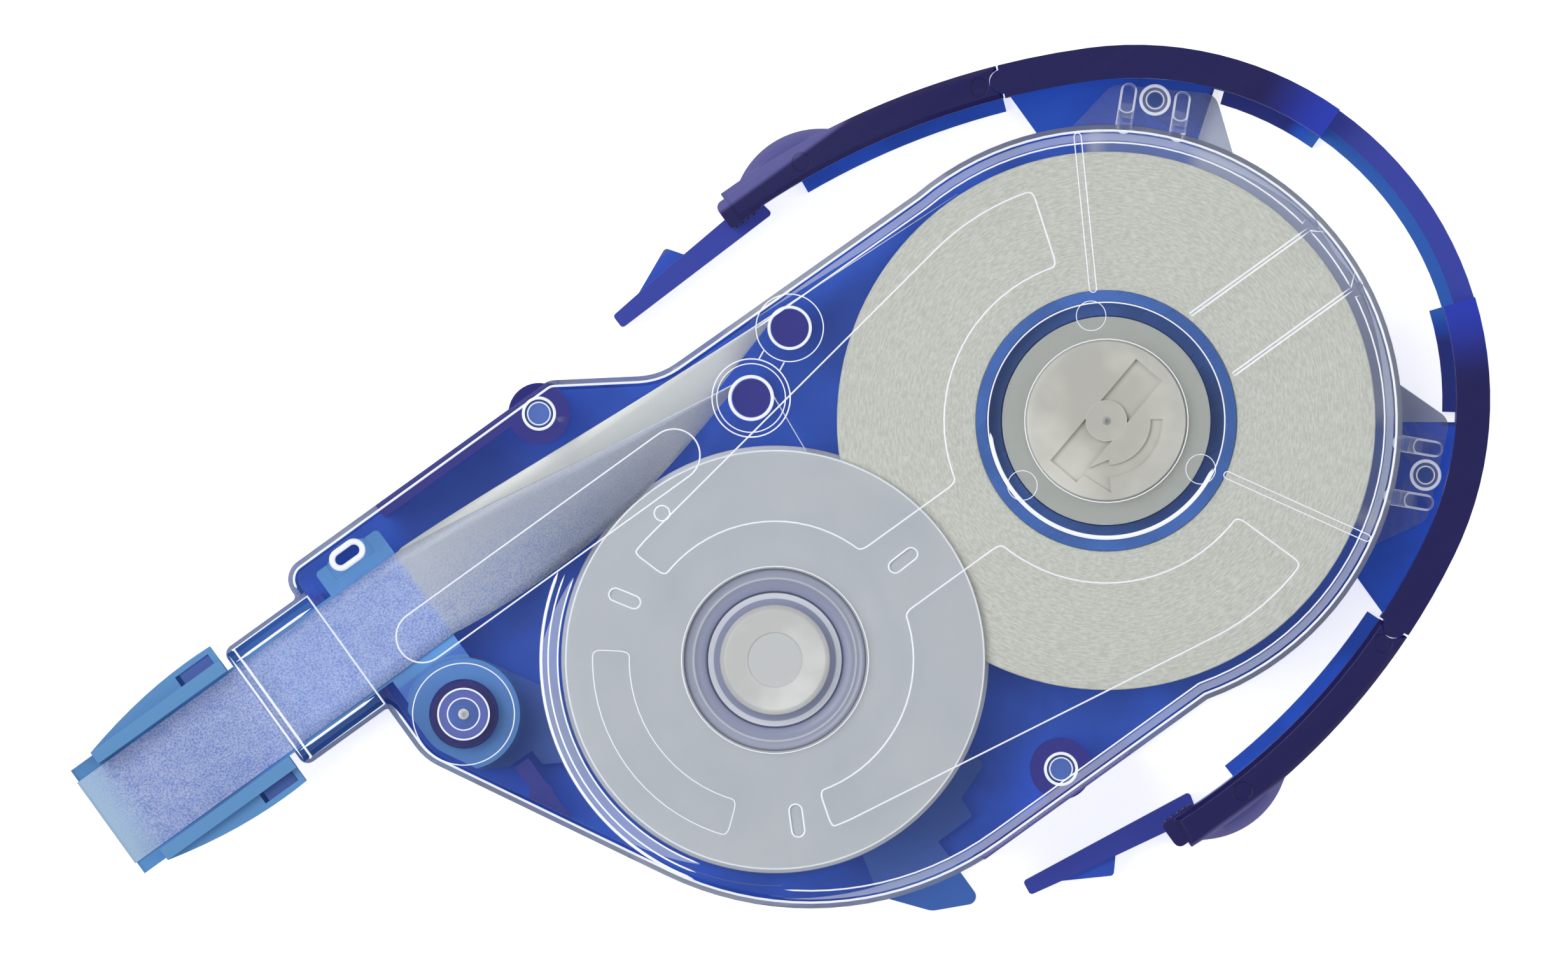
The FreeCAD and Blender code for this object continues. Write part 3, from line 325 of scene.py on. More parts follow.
def tray_blue():
    """Clear blue plastic: bright where it is thin, indigo where it stands tall, fading round the bow."""
    finish = moulded("tray_blue", (32, 84, 192), roughness=0.24)
    reach = finish.distance(SUPPLY)
    turn = finish.y.angle_from(finish.x).absolute()
    bend = finish.y.angle_from(finish.x - BOW_X).absolute()
    # beyond the roll, between the two webs, the clear rim outshines the floor
    rim = reach.band((22.6, 22.9), (24.9, 25.1)) * (1 - turn.sweep(56, 60))
    over_web = turn.sweep(33, 38) * (1 - turn.sweep(53, 57))
    rim_tint = finish.blend(over_web, linear(186, 192, 214), linear(120, 140, 200))
    thin = finish.blend(rim, finish.tint, rim_tint)
    apex = (1 - bend.sweep(19, 23)) * reach.step(28.0, 28.4)
    thin = finish.blend(apex, thin, linear(52, 108, 192))
    lip = turn.sweep(20, 23) * (1 - turn.sweep(36, 37)) * reach.step(28.3, 28.6)
    thin = finish.blend(lip * 0.85, thin, linear(38, 40, 120))
    clip = finish.blend(finish.z.step(2.6, 4.4), thin, linear(54, 66, 162))
    bow = finish.blend(bend.sweep(19, 33), linear(36, 56, 178), linear(25, 21, 84))
    tall = finish.blend(finish.z.step(4.8, 9.6), clip, bow)
    tint = finish.blend(finish.z.step(11.0, 12.6), tall, linear(34, 33, 118))
    pads = finish.y.absolute().step(33.1, 33.6) * (1 - finish.x.step(-4.0, -2.0))
    tint = finish.blend(pads, tint, linear(96, 94, 158))
    # painted light: in front of the shoulder the tray is painted a brighter blue, lifting the shade that
    # falls in the nose's deep side pockets
    painted_nose_light = 1 - finish.x.step(SHOULDER_X - 0.4, SHOULDER_X + 0.4)
    glow(finish, finish.blend(painted_nose_light, tint, linear(52, 108, 186)), 0.18)
    return finish


def lever_blue():
    """Paler blue; what lies low under the tray's colour reads darker."""
    finish = moulded("lever_blue", (72, 132, 192), (92, 148, 204), roughness=0.36, heights=(9.0, 12.0))
    eye = finish.distance(PIVOT)
    bright = finish.blend(1 - eye.step(4.9, 5.1), finish.tint, linear(66, 118, 182))
    beside = (1 - finish.y.step(NOSE_Y - 5.4, NOSE_Y - 5.1)) * finish.x.step(SHOULDER_X, SHOULDER_X + 0.3)
    bright = finish.blend(beside * eye.step(4.9, 5.1), bright, linear(52, 98, 178))
    low = 1 - finish.z.step(3.4, 4.4)
    inside = finish.y.step(-23.0, -22.6) * eye.step(4.6, 5.2)
    glow(finish, finish.blend(low * inside, bright, linear(50, 92, 176)), 0.1)
    return finish


def gear_blue():
    """Blue of the drive gear, which lies under the roll."""
    finish = moulded("gear_blue", (58, 98, 176), roughness=0.36)
    glow(finish, finish.tint, 0.1)
    return finish


def hub_grey():
    """Warm grey face; the rim under the clear cover is painted darker, as painted shade of the cover over
    it.
    """
    finish = moulded("hub_grey", (211, 210, 202), roughness=0.42)
    # painted shade: from about 6.7 mm out, where the clear cover lies over the face, it is painted darker
    rim = finish.distance(SUPPLY).step(6.62, 6.8)
    finish.feed(Base_Color=finish.blend(rim, finish.tint, linear(160, 162, 155)))
    return finish


def ring_white():
    """Plain greyish white of the clutch ring."""
    return moulded("ring_white", (176, 178, 172), roughness=0.42)


def core_blue():
    """Glossy blue of the sleeve that the fresh tape is wound on."""
    finish = moulded("core_blue", (46, 86, 154), roughness=0.28)
    glow(finish, finish.tint, 0.16)
    return finish


def gear_white():
    """Milky plastic of the take-up drum, with a pale crown on its spindle tube."""
    finish = moulded("gear_white", (166, 172, 194), roughness=0.3)
    radius = finish.distance(TAKEUP)
    crown = radius.band((5.12, 5.22), (5.6, 5.7))
    tube = finish.blend(radius.step(5.7, 5.9), linear(142, 148, 176), finish.tint)
    glow(finish, finish.blend(crown, tube, linear(208, 212, 222)), 0.15)
    return finish


def cap_white():
    """White of the take-up's cap, a shade darker in its round middle."""
    finish = moulded("cap_white", (225, 226, 226), roughness=0.36)
    inner = 1 - finish.distance(TAKEUP).step(2.32, 2.42)
    finish.feed(Base_Color=finish.blend(inner, finish.tint, linear(214, 217, 219)))
    return finish


def roll_ivory():
    """Edges of wound tape: short broken streaks that run round the reel."""
    finish = Finish("roll_ivory", Roughness=0.7)
    radius = finish.distance(SUPPLY)
    turn = finish.y.angle_from(finish.x)
    place = finish.node("ShaderNodeCombineXYZ", {}, {0: radius * 8.0, 1: turn * 22.0, 2: finish.z * 0.4})
    cloud = finish.node("ShaderNodeTexNoise", {}, {"Vector": place.outputs[0], "Scale": 1.0, "Detail": 4.0})
    streaks = Value(finish, cloud.outputs[0])
    fibres = finish.noise(3.6, 4.0)
    share = (streaks * 0.7 + fibres * 0.3).step(0.34, 0.66)
    finish.feed(Base_Color=finish.blend(share, linear(181, 180, 167), linear(204, 204, 194)))
    finish.feed(Normal=finish.bump(streaks, 0.04))
    return finish


def fresh_tape():
    """Paper tape, paler where it turns on edge and the light comes through it."""
    finish = Finish("fresh_tape", Roughness=0.45)
    pale = finish.blend(finish.noise(0.3), linear(204, 204, 198), linear(212, 212, 206))
    # painted light: the stretch that turns on edge is painted paler and glows, in place of the light that
    # comes through the tape there
    lit_edge_on = finish.x.step(TONGUE_BACK_X, POST_FEED[0])
    glow(finish, finish.blend(lit_edge_on, pale, linear(228, 228, 222)), 0.24)
    finish.feed(Normal=finish.bump(finish.noise(0.25), 0.03))
    return finish


def used_tape():
    """Film with a fine mottle of correction coat: bluer over the applicator, greyer behind it, with painted
    shade inside the nose and painted light where it turns on edge.
    """
    finish = Finish("used_tape", Roughness=0.34)
    grain = finish.noise(6.5, 3.0).step(0.36, 0.64)
    clouds = finish.noise(0.9, 3.0).step(0.3, 0.7)
    share = grain * 0.75 + clouds * 0.25
    low_edge = 1 - finish.y.step(NOSE_Y - 5.0, NOSE_Y + 4.0)
    behind = finish.x.step(TONGUE_BACK_X - 0.5, TONGUE_BACK_X + 0.3)
    over_lever = finish.blend(share, linear(112, 136, 202), linear(176, 188, 222))
    over_tray = finish.blend((1 - share) * low_edge, linear(170, 174, 184), linear(122, 138, 184))
    tint = finish.blend(behind, over_lever, over_tray)
    # painted shade: from the nose's front to the tongue's back the film is painted darker, where the guards
    # and walls round it shade it
    painted_nose_shade = finish.x.step(NOSE_X, NOSE_X + 0.4) * (1 - behind)
    tint = finish.blend(painted_nose_shade * 0.25, tint, linear(104, 118, 160))
    at_tip = finish.x.step(TIP_X + 4.0, TIP_X)
    tint = finish.blend(at_tip, tint, linear(160, 190, 220))
    # painted light: where the film turns on edge it is painted paler and glows near white, lifting the
    # shade that falls on it there
    lit_edge_on = finish.x.step(TONGUE_BACK_X + 8, POST_RETURN[0])
    tint = finish.blend(lit_edge_on * 0.7, tint, linear(206, 211, 222))
    glow(finish, tint, 0.13)
    finish.feed(Emission_Color=finish.blend(lit_edge_on, tint, linear(246, 248, 255)))
    finish.feed(Roughness=grain * 0.2 + 0.25)
    finish.feed(Normal=finish.bump(grain, 0.006))
    return finish


def flange_frost():
    """Frosted film of plastic: milky, with a faint view of what lies under it, and a painted highlight on
    its rim.
    """
    finish = Finish("flange_frost", Roughness=0.42)
    clouds = finish.noise(0.15)
    face = finish.blend(clouds, linear(177, 180, 185), linear(188, 189, 191))
    # painted highlight: the outermost band of the flange is painted near white and glows, where its edge
    # would otherwise read as a dark shaded rim
    rim = finish.distance(TAKEUP).step(FLANGE_RADIUS - 0.2, FLANGE_RADIUS - 0.1)
    glow(finish, finish.blend(rim, face, linear(236, 238, 242)), 0.06)
    finish.feed(Alpha=clouds * 0.08 + 0.80)
    finish.feed(Normal=finish.bump(finish.noise(3.0), 0.004))
    return finish


def well_frost():
    """Milky plastic in the take-up drum's mouth, lavender with a paler turn."""
    finish = Finish("well_frost", Roughness=0.3)
    radius = finish.distance(TAKEUP)
    slope = radius.step(5.8, 7.6)
    tint = finish.blend(slope, linear(146, 152, 180), linear(166, 171, 190))
    ridge = radius.band((6.72, 6.84), (6.9, 7.0))
    glow(finish, finish.blend(ridge, tint, linear(200, 205, 216)), 0.12)
    finish.feed(Roughness=finish.noise(0.6) * 0.2 + 0.2)
    return finish


def pin_core():
    """Blue that shows through the clear pins and pockets."""
    finish = moulded("pin_core", (64, 94, 164), roughness=0.3)
    turns = finish.distance(PIVOT).band((1.3, 1.4), (1.9, 2.05))
    glow(finish, finish.blend(turns, finish.tint, linear(88, 98, 172)), 0.06)
    return finish


def clear_plastic(name, veil, walls, milk=(206, 212, 226), lit=0.0):
    """Clear plastic that lamps shine through. A milky share covers its edges, upright walls and feet.

    veil is the share over the whole surface, walls the share on upright walls, milk the veil's
    colour and lit how much the veil lights up by itself.
    """
    clear = {"Base Color": (0.95, 0.97, 0.99, 1), "Transmission Weight": 1.0}
    finish = Finish(name, Roughness=0.03, IOR=1.38, **clear)
    finish.feed(Normal=finish.bump(finish.noise(0.12), 0.01))
    facing = Value(finish, finish.node("ShaderNodeLayerWeight", {}, {"Blend": 0.5}).outputs["Facing"])
    outward = finish.node("ShaderNodeNewGeometry").outputs["Normal"]
    rise = Value(finish, finish.node("ShaderNodeSeparateXYZ", {}, {0: outward}).outputs[2])
    upright = 1 - rise.absolute().step(0.25, 0.6)
    foot = 1 - finish.z.step(TRAY_FLOOR + 0.1, TRAY_FLOOR + 0.5)
    feet = finish.distance(SUPPLY).step(25.05, 25.2) * finish.x.step(0.0, 2.0) * 0.3
    share = (facing.step(0.12, 0.75) * 0.3 + veil + feet).highest(upright.highest(foot) * walls)
    cloudy = {
        "Base Color": linear(*milk), "Roughness": 0.2, "Alpha": 0.6 + lit,
        "Emission Color": linear(*milk), "Emission Strength": lit,
    }
    pale = finish.node("ShaderNodeBsdfPrincipled", {}, cloudy)
    shaders = {0: share, 1: finish.shader.outputs[0], 2: pale.outputs[0]}
    edged = finish.node("ShaderNodeMixShader", {}, shaders)
    shadow = finish.node("ShaderNodeLightPath").outputs["Is Shadow Ray"]
    passing = finish.node("ShaderNodeBsdfTransparent", {}, {"Color": (0.96, 0.97, 0.98, 1)})
    both = finish.node("ShaderNodeMixShader", {}, {0: shadow, 1: edged.outputs[0], 2: passing.outputs[0]})
    finish.tree.links.new(both.outputs[0], finish.output.inputs["Surface"])
    return finish


def cover_clear():
    """The cover's glassy panels and milky skirt."""
    return clear_plastic("cover_clear", 0.0, 0.8)


def clear_edge():
    """The rolled edge of a step in clear plastic, which gathers the light into a pale line."""
    return clear_plastic("clear_edge", 0.8, 0.8, (238, 240, 246), 0.3)


def clear_band():
    """A wall of clear plastic seen along its height, where it looks milky."""
    return clear_plastic("clear_band", 0.62, 0.7, (196, 203, 224), 0.1)


FINISHES = {
    maker.__name__: maker()
    for maker in (
        tray_blue, cover_clear, lever_blue, gear_blue, hub_grey, ring_white, core_blue,
        roll_ivory, gear_white, flange_frost, cap_white, used_tape, fresh_tape, clear_edge,
        well_frost, clear_band, pin_core,
    )
}


# ---------------------------------------------------------------- pieces from the CAD nodes


def show(name, mesh, body, slot_name, finish=None):
    """A finished piece: its place is in its mesh, and it rides on a body."""
    piece = bpy.data.objects.new(name, mesh)
    bpy.context.scene.collection.objects.link(piece)
    mesh.materials.clear()
    mesh.materials.append(FINISHES[finish or slot_name].material)
    if body is not None:
        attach(piece, body)
    return piece


def merged(node):
    """A copy of a CAD node's mesh as one closed skin, its flat faces whole."""
    mesh = NODES[node].data.copy()
    mesh.name = node + "_skin"
    work = bmesh.new()
    work.from_mesh(mesh)
    bmesh.ops.remove_doubles(work, verts=work.verts, dist=0.002 * MM)
    bmesh.ops.dissolve_limit(
        work, angle_limit=math.radians(0.6), verts=work.verts, edges=work.edges, delimit=set()
    )
    work.to_mesh(mesh)
    work.free()
    mesh.polygons.foreach_set("use_smooth", np.ones(len(mesh.polygons), bool))
    return mesh


def rounded(node, width, sharp=38, segments=2):
    """The node with its sharp edges rolled over by width, as a mould leaves them."""
    piece = show(node + "_skin", merged(node), BODY_OF[node], SLOT_OF[node])
    edge = piece.modifiers.new("edges", "BEVEL")
    edge.width = width * MM
    edge.segments = segments
    edge.limit_method = "ANGLE"
    edge.angle_limit = math.radians(sharp)
    edge.use_clamp_overlap = True
    edge.miter_outer = "MITER_ARC"
    even = piece.modifiers.new("even", "WEIGHTED_NORMAL")
    even.weight = 50
    even.keep_sharp = True
    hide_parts(node)
    return piece


for node in sorted(NODES):
    NODES[node].data.materials.clear()
    NODES[node].data.materials.append(FINISHES[SLOT_OF[node]].material)


# ---------------------------------------------------------------- surfaces


def grid_mesh(points, closed_around=False, closed_along=False):
    """A skin over a grid of points, given as rows along by columns around, in millimetres."""
    rows, columns = points.shape[:2]
    along = np.arange(rows if closed_along else rows - 1)
    around = np.arange(columns if closed_around else columns - 1)
    i, j = np.meshgrid(along, around, indexing="ij")
    i2, j2 = (i + 1) % rows, (j + 1) % columns
    corners = [i * columns + j, i * columns + j2, i2 * columns + j2, i2 * columns + j]
    return points.reshape(-1, 3), np.stack(corners, -1).reshape(-1, 4)


def joined(name, skins):
    """One mesh from several (points, faces) skins."""
    points, faces, start = [], [], 0
    for skin_points, skin_faces in skins:
        points.append(skin_points)
        faces.append(skin_faces + start)
        start += len(skin_points)
    points, faces = np.concatenate(points), np.concatenate(faces)
    mesh = bpy.data.meshes.new(name)
    mesh.vertices.add(len(points))
    mesh.vertices.foreach_set("co", (points * MM).astype(np.float32).ravel())
    mesh.loops.add(faces.size)
    mesh.loops.foreach_set("vertex_index", faces.astype(np.int32).ravel())
    mesh.polygons.add(len(faces))
    mesh.polygons.foreach_set("loop_start", np.arange(0, faces.size, 4, dtype=np.int32))
    mesh.polygons.foreach_set("use_smooth", np.ones(len(faces), bool))
    mesh.update(calc_edges=True)
    mesh.validate()
    return mesh


def bead(path, radius, closed, sides=8):
    """A round line: at each path point a circle stands across the path, with the radius given.

    Its faces point inwards, and an open path's ends stay open, at a fiftieth of the radius.
    """
    if closed:
        ahead = np.roll(path, -1, 0) - np.roll(path, 1, 0)
    else:
        ahead = np.gradient(path, axis=0)
    ahead /= np.linalg.norm(ahead, axis=1, keepdims=True)
    across = np.stack([ahead[:, 1], -ahead[:, 0], np.zeros(len(path))], 1)
    across /= np.maximum(np.linalg.norm(across, axis=1, keepdims=True), 1e-9)
    upward = np.cross(across, ahead)
    turn = np.linspace(0, 2 * np.pi, sides, endpoint=False)[None, :, None]
    size = np.full(len(path), radius)
    if not closed:
        size[[0, -1]] = radius * 0.02
    ring = across[:, None] * np.cos(turn) + upward[:, None] * np.sin(turn)
    return grid_mesh(path[:, None] + ring * size[:, None, None], closed_around=True, closed_along=closed)


def circle(centre, radius, level, start=0, sweep=360, steps=None):
    """Points round a centre at one level; the angles are in degrees."""
    steps = steps or max(16, int(abs(sweep) / 360 * 40 * math.sqrt(radius)))
    turn = np.radians(start + np.linspace(0, sweep, steps + 1))
    if abs(sweep) == 360:
        turn = turn[:-1]
    x, y = centre[0] + radius * np.cos(turn), centre[1] + radius * np.sin(turn)
    return np.stack([x, y, np.full(len(turn), float(level))], 1)


def crease_paths(node, level, sharp=12):
    """The node's creases that lie at one level, as (points, closed) paths."""
    work = bmesh.new()
    work.from_mesh(NODES[node].data)
    bmesh.ops.remove_doubles(work, verts=work.verts, dist=0.002 * MM)
    near = {}
    for edge in work.edges:
        flat = all(abs(v.co.z / MM - level) < 0.02 for v in edge.verts)
        if flat and len(edge.link_faces) == 2 and edge.calc_face_angle(0) > math.radians(sharp):
            for vert in edge.verts:
                near.setdefault(vert.index, []).append(edge.other_vert(vert).index)
    place = {v.index: np.array(v.co) / MM for v in work.verts if v.index in near}
    work.free()
    paths = []
    while near:
        start = next((v for v, others in near.items() if len(others) == 1), next(iter(near)))
        chain = [start]
        while near.get(chain[-1]):
            here = chain[-1]
            after = near[here].pop()
            near[after].remove(here)
            chain.append(after)
        for vert in chain:
            if vert in near and not near[vert]:
                del near[vert]
        if len(chain) > 2:
            closed = chain[0] == chain[-1]
            points = np.array([place[v] for v in (chain[:-1] if closed else chain)])
            paths.append((points, closed))
        else:
            near.pop(start, None)
    return paths


def turned(profile, centre, steps=96):
    """A closed (radius, level) profile turned once round an upright axis.

    The faces of an anticlockwise profile, with its radius to the right, point inwards.
    """
    profile = np.asarray(profile, float)
    turn = np.linspace(0, 2 * np.pi, steps, endpoint=False)
    radius, level = profile[:, :1], profile[:, 1:] + np.zeros(steps)
    points = np.stack([centre[0] + radius * np.cos(turn), centre[1] + radius * np.sin(turn), level], -1)
    return grid_mesh(points[::-1], closed_around=True, closed_along=True)


def obround(centre, half, radius, level, heading, steps=12):
    """Points round a slot: two half circles whose centres lie half each way along the heading."""
    heading = math.radians(heading)
    turn = np.linspace(-np.pi / 2, np.pi / 2, steps)
    end = np.stack([half + radius * np.cos(turn), radius * np.sin(turn)], 1)
    flat = np.concatenate([end, -end])
    x = centre[0] + flat[:, 0] * math.cos(heading) - flat[:, 1] * math.sin(heading)
    y = centre[1] + flat[:, 0] * math.sin(heading) + flat[:, 1] * math.cos(heading)
    return np.stack([x, y, np.full(len(x), float(level))], 1)


def around(centre, radius, angle):
    """The point at a radius and an angle in degrees from an axis."""
    angle = math.radians(angle)
    return centre + radius * np.array([math.cos(angle), math.sin(angle), 0.0])


def straight(start, end, level, steps=8):
    """Evenly spaced points from the start to the end, all at one level."""
    share = np.linspace(0, 1, steps)[:, None]
    path = np.asarray(start, float) * (1 - share) + np.asarray(end, float) * share
    path[:, 2] = level
    return path


def runs(path, wanted):
    """The stretches of a closed path whose points are wanted, each as an open path."""
    first = int(np.flatnonzero(~wanted)[0])
    path, wanted = np.roll(path, -first, 0), np.roll(wanted, -first)
    parts = np.split(np.arange(len(path)), np.flatnonzero(np.diff(wanted.astype(int))) + 1)
    return [path[part] for part in parts if wanted[part[0]] and len(part) > 2]


def tapered(inner, outer, ramp=12):
    """A flat strip between two open paths that narrows to nothing over the ramp at either end."""
    index = np.arange(len(inner))
    share = np.clip(np.minimum(index, index[::-1]) / ramp, 0.02, 1)[:, None]
    return grid_mesh(np.stack([inner, inner + (outer - inner) * share], 1))


def finer(path, longest=1.0):
    """A closed path with points added along its straight steps, so that none is longer than the longest."""
    points = []
    for start, end in zip(path, np.roll(path, -1, 0)):
        count = max(1, math.ceil(np.linalg.norm(end - start) / longest))
        points += [start + (end - start) * step / count for step in range(count)]
    return np.array(points)


def eased(path, closed, reach=0.8):
    """Sharp corners rounded: each becomes a parabola from a point before it to one after it."""
    points = []
    for index, point in enumerate(path):
        back, ahead = path[index - 1] - point, path[(index + 1) % len(path)] - point
        sizes = np.linalg.norm(back), np.linalg.norm(ahead)
        at_end = not closed and index in (0, len(path) - 1)
        if at_end or back @ ahead < -0.85 * sizes[0] * sizes[1]:
            points.append(point)
            continue
        start = point + back * min(0.45, reach / sizes[0])
        end = point + ahead * min(0.45, reach / sizes[1])
        for t in (0, 0.25, 0.5, 0.75, 1):
            points.append(start * (1 - t) ** 2 + point * 2 * t * (1 - t) + end * t * t)
    return np.array(points)


def inset(path, depth):
    """A closed path moved inwards: each point steps by the depth to the side on which its area lies."""
    ahead = np.roll(path, -1, 0) - np.roll(path, 1, 0)
    ahead /= np.linalg.norm(ahead, axis=1, keepdims=True)
    left = np.stack([-ahead[:, 1], ahead[:, 0], np.zeros(len(path))], 1)
    after = np.roll(path, -1, 0)
    area = (path[:, 0] * after[:, 1] - after[:, 0] * path[:, 1]).sum()
    return path + left * depth * np.sign(area)


def film(path, centre, rows=4):
    """A flat skin inside a closed path: copies of the path that shrink to its centre."""
    share = np.linspace(1, 0, rows)[:, None, None]
    middle = np.array([centre[0], centre[1], path[0, 2]])
    return grid_mesh(middle + (path - middle) * share, closed_around=True)


# ---------------------------------------------------------------- lines and fills of the clear cover

FINE_LINE = 0.045
STEP_LINE = 0.07
RIM_LINE = 0.1


def panel_lines():
    """Rolled edges at the cover's top: its rim, with a pale strip in the skirt, and its panels.

    The widest closed crease is the rim. It leaves out the stretch across the tape and is thinner
    where it follows the stepped corridor; every other crease is one line with eased corners.
    """
    skins = []
    paths = crease_paths("cover", COVER_TOP)
    widest = max(np.ptp(points[:, 0]) for points, closed in paths if closed)
    for points, closed in paths:
        if not closed or np.ptp(points[:, 0]) < widest - 0.1:
            small = closed and np.ptp(points[:, 0]) < 17
            skins.append(bead(eased(points, closed), FINE_LINE if small else STEP_LINE, closed))
            continue
        rim = finer(points)
        x, y = rim[:, 0], rim[:, 1]
        across = (x < SHOULDER_X + 1.4) & (abs(y - NOSE_Y) < 6.4)
        stepped = (x > 8) & (np.hypot(x - SUPPLY[0], y - SUPPLY[1]) < SKIRT_RADIUS - 1.0)
        milky = ((x > -20) | ((y < 0) & (x > -46))) & ~stepped
        skins += [bead(path, STEP_LINE, False) for path in runs(rim, stepped)]
        lowered = rim - np.array([0, 0, 0.03])
        skins += [bead(path, RIM_LINE, False) for path in runs(lowered, ~across & ~stepped)]
        skins += [bead(path, STEP_LINE, False) for path in runs(inset(rim, 1.0), milky)]
        inside = [runs(inset(rim, depth) - np.array([0, 0, 0.5]), milky) for depth in (0.25, 0.85)]
        bands = [tapered(*pair) for pair in zip(*inside)]
        show("skirt_band", joined("skirt_band", bands), "base", "cover_clear", "clear_band")
    return skins


def reel_wall_lines():
    """The clear wall beside the take-up reel: three arcs round its axis, and a pale strip."""
    start, sweep = 122, 92
    level = COVER_TOP - 0.6
    inner, outer = (circle(TAKEUP, radius, level - 0.1, start, sweep, 64) for radius in (18.4, 19.6))
    band = joined("reel_wall_band", [tapered(inner, outer)])
    show("reel_wall_band", band, "base", "cover_clear", "clear_band")
    return [
        bead(circle(TAKEUP, radius, level, start, sweep), width, False)
        for radius, width in ((18.35, 0.07), (19.15, 0.07), (19.75, 0.13))
    ]


def ring_lines():
    """Rings of the cover's pins, sockets and openings, each a (centre, radius, width)."""
    rings = [
        (PIVOT, 4.3, 0.05), (PIVOT, 2.15, 0.08), (PIVOT, 1.35, 0.06), (SUPPLY, 10.0, 0.06),
        (POST_FEED, 1.75, 0.13), (POST_FEED, 2.85, 0.05), (POST_RETURN, 1.8, 0.15),
        (POST_RETURN, 3.3, 0.06), (POST_RETURN, 2.9, 0.05), (around(TAKEUP, 15.62, 91.8), 0.65, 0.07),
    ]
    rings += [(boss, radius, width) for boss in BOSSES for radius, width in ((1.32, 0.13), (0.95, 0.05))]
    rings += [(around(SUPPLY, 8.95, angle), 1.25, 0.035) for angle in (62.5, 181.8, 297.0)]
    return [bead(circle(centre, radius, COVER_TOP), width, True) for centre, radius, width in rings]


def post_bridge_lines():
    """The two edges of the web that joins the guide posts, each a millimetre off their line."""
    between = POST_FEED - POST_RETURN
    heading = math.degrees(math.atan2(between[1], between[0]))
    skins = []
    for side in (-1, 1):
        ends = [
            around(around(post, reach, heading), side * 1.0, heading + 90)
            for post, reach in ((POST_RETURN, 3.1), (POST_FEED, -2.7))
        ]
        skins.append(bead(straight(*ends, COVER_TOP), 0.06, False))
    return skins


def cover_lines():
    """Every pale line on the cover's top, as one piece."""
    skins = panel_lines() + reel_wall_lines() + ring_lines() + post_bridge_lines()
    # painted highlight: a thicker pale arc on one side of the supply opening's edge, where the light
    # catches it
    skins.append(bead(circle(SUPPLY, 9.85, COVER_TOP - 0.5, 150, 150), 0.16, False))
    skins.append(bead(obround(CLIP, 0.7, 0.72, COVER_TOP - 0.1, 0), 0.26, True))
    show("cover_lines", joined("cover_lines", skins), "base", "cover_clear", "clear_edge")


def stub(centre, radius, low, high, narrower):
    """A short upright stub with a flat foot and a narrower top."""
    return turned([(0, low), (radius, low), (radius - narrower, high), (0, high)], centre, 32)


def eyes():
    """What shows inside the pins: blue cores under the clear rings, and the pivot's white centre."""
    cores = [film(circle(boss, 1.1, CORE_TOP), boss) for boss in BOSSES]
    cores.append(film(circle(PIVOT, 2.1, CORE_TOP), PIVOT))
    for side in (1, -1):
        pin = around(SUPPLY, PIN_REACH, side * PIN_ANGLE)
        cores.append(film(circle(pin, 0.6, TRAY_FLOOR + 1.9), pin))
    show("pin_cores", joined("pin_cores", cores), "base", "cover_clear", "pin_core")
    centre = stub(PIVOT, 0.5, CORE_TOP + 0.05, CORE_TOP + 0.3, 0.08)
    show("pivot_centre", joined("pivot_centre", [centre]), "base", "cover_clear", "cap_white")


def hub_lines():
    """A pale ring round the hub's boss, and its white centre."""
    ring = bead(circle(SUPPLY, 1.7, HUB_TOP - 0.04), 0.05, True)
    profile = [(0, HUB_TOP - 0.25), (0.42, HUB_TOP - 0.25), (0.4, HUB_TOP + 0.03), (0, HUB_TOP + 0.06)]
    mesh = joined("hub_lines", [ring, turned(profile, SUPPLY, 32)])
    show("hub_lines", mesh, BODY_OF["clutch_hub"], SLOT_OF["clutch_hub"], "cap_white")


def lever_fills():
    """Webs in the guards' pockets, and the lobe round the cover's catch."""
    front, back = -76.1, -72.6
    top = TAPE_MIDDLE + 2.55
    webs = []
    for side in (1, -1):
        low, high = NOSE_Y + side * 5.6, NOSE_Y + side * 6.6
        corners = np.array([(front, low, top), (back, low, top), (back, high, top), (front, high, top)])
        webs.append(film(corners[::side], corners.mean(0)))
    show("pocket_webs", joined("pocket_webs", webs), "lever", "lever_blue", "pin_core")
    lobe_top = TAPE_MIDDLE + 0.7
    outline = obround(CLIP + np.array([0, -0.5, 0]), 1.2, 1.1, lobe_top, 0)
    hole = obround(CLIP + np.array([0, -0.1, 0]), 0.6, 0.6, lobe_top, 0)
    lobe = grid_mesh(np.stack([outline, hole]), closed_around=True)
    show("catch_lobe", joined("catch_lobe", [lobe]), "lever", "lever_blue")


def nose_lines():
    """Edges of the clear nose, the bar across its mouth and the rails beside the tape."""
    skins = []
    for points, closed in crease_paths("cover", NOSE_TOP):
        if len(points) > 3:
            skins.append(bead(points, RIM_LINE, closed))
    for x in (NOSE_X + 0.25, NOSE_X + 0.95):
        bar = straight((x, NOSE_Y - 5.4, 0), (x, NOSE_Y + 5.4, 0), NOSE_TOP + 0.25)
        skins.append(bead(bar, 0.09, False))
    for y in (NOSE_Y - 4.6, NOSE_Y + 4.6):
        rail = straight((NOSE_X + 0.4, y, 0), (PIVOT[0] - 5.2, y, 0), NOSE_TOP - 0.3)
        skins.append(bead(rail, 0.12, False))
    show("nose_lines", joined("nose_lines", skins), "base", "cover_clear", "clear_edge")


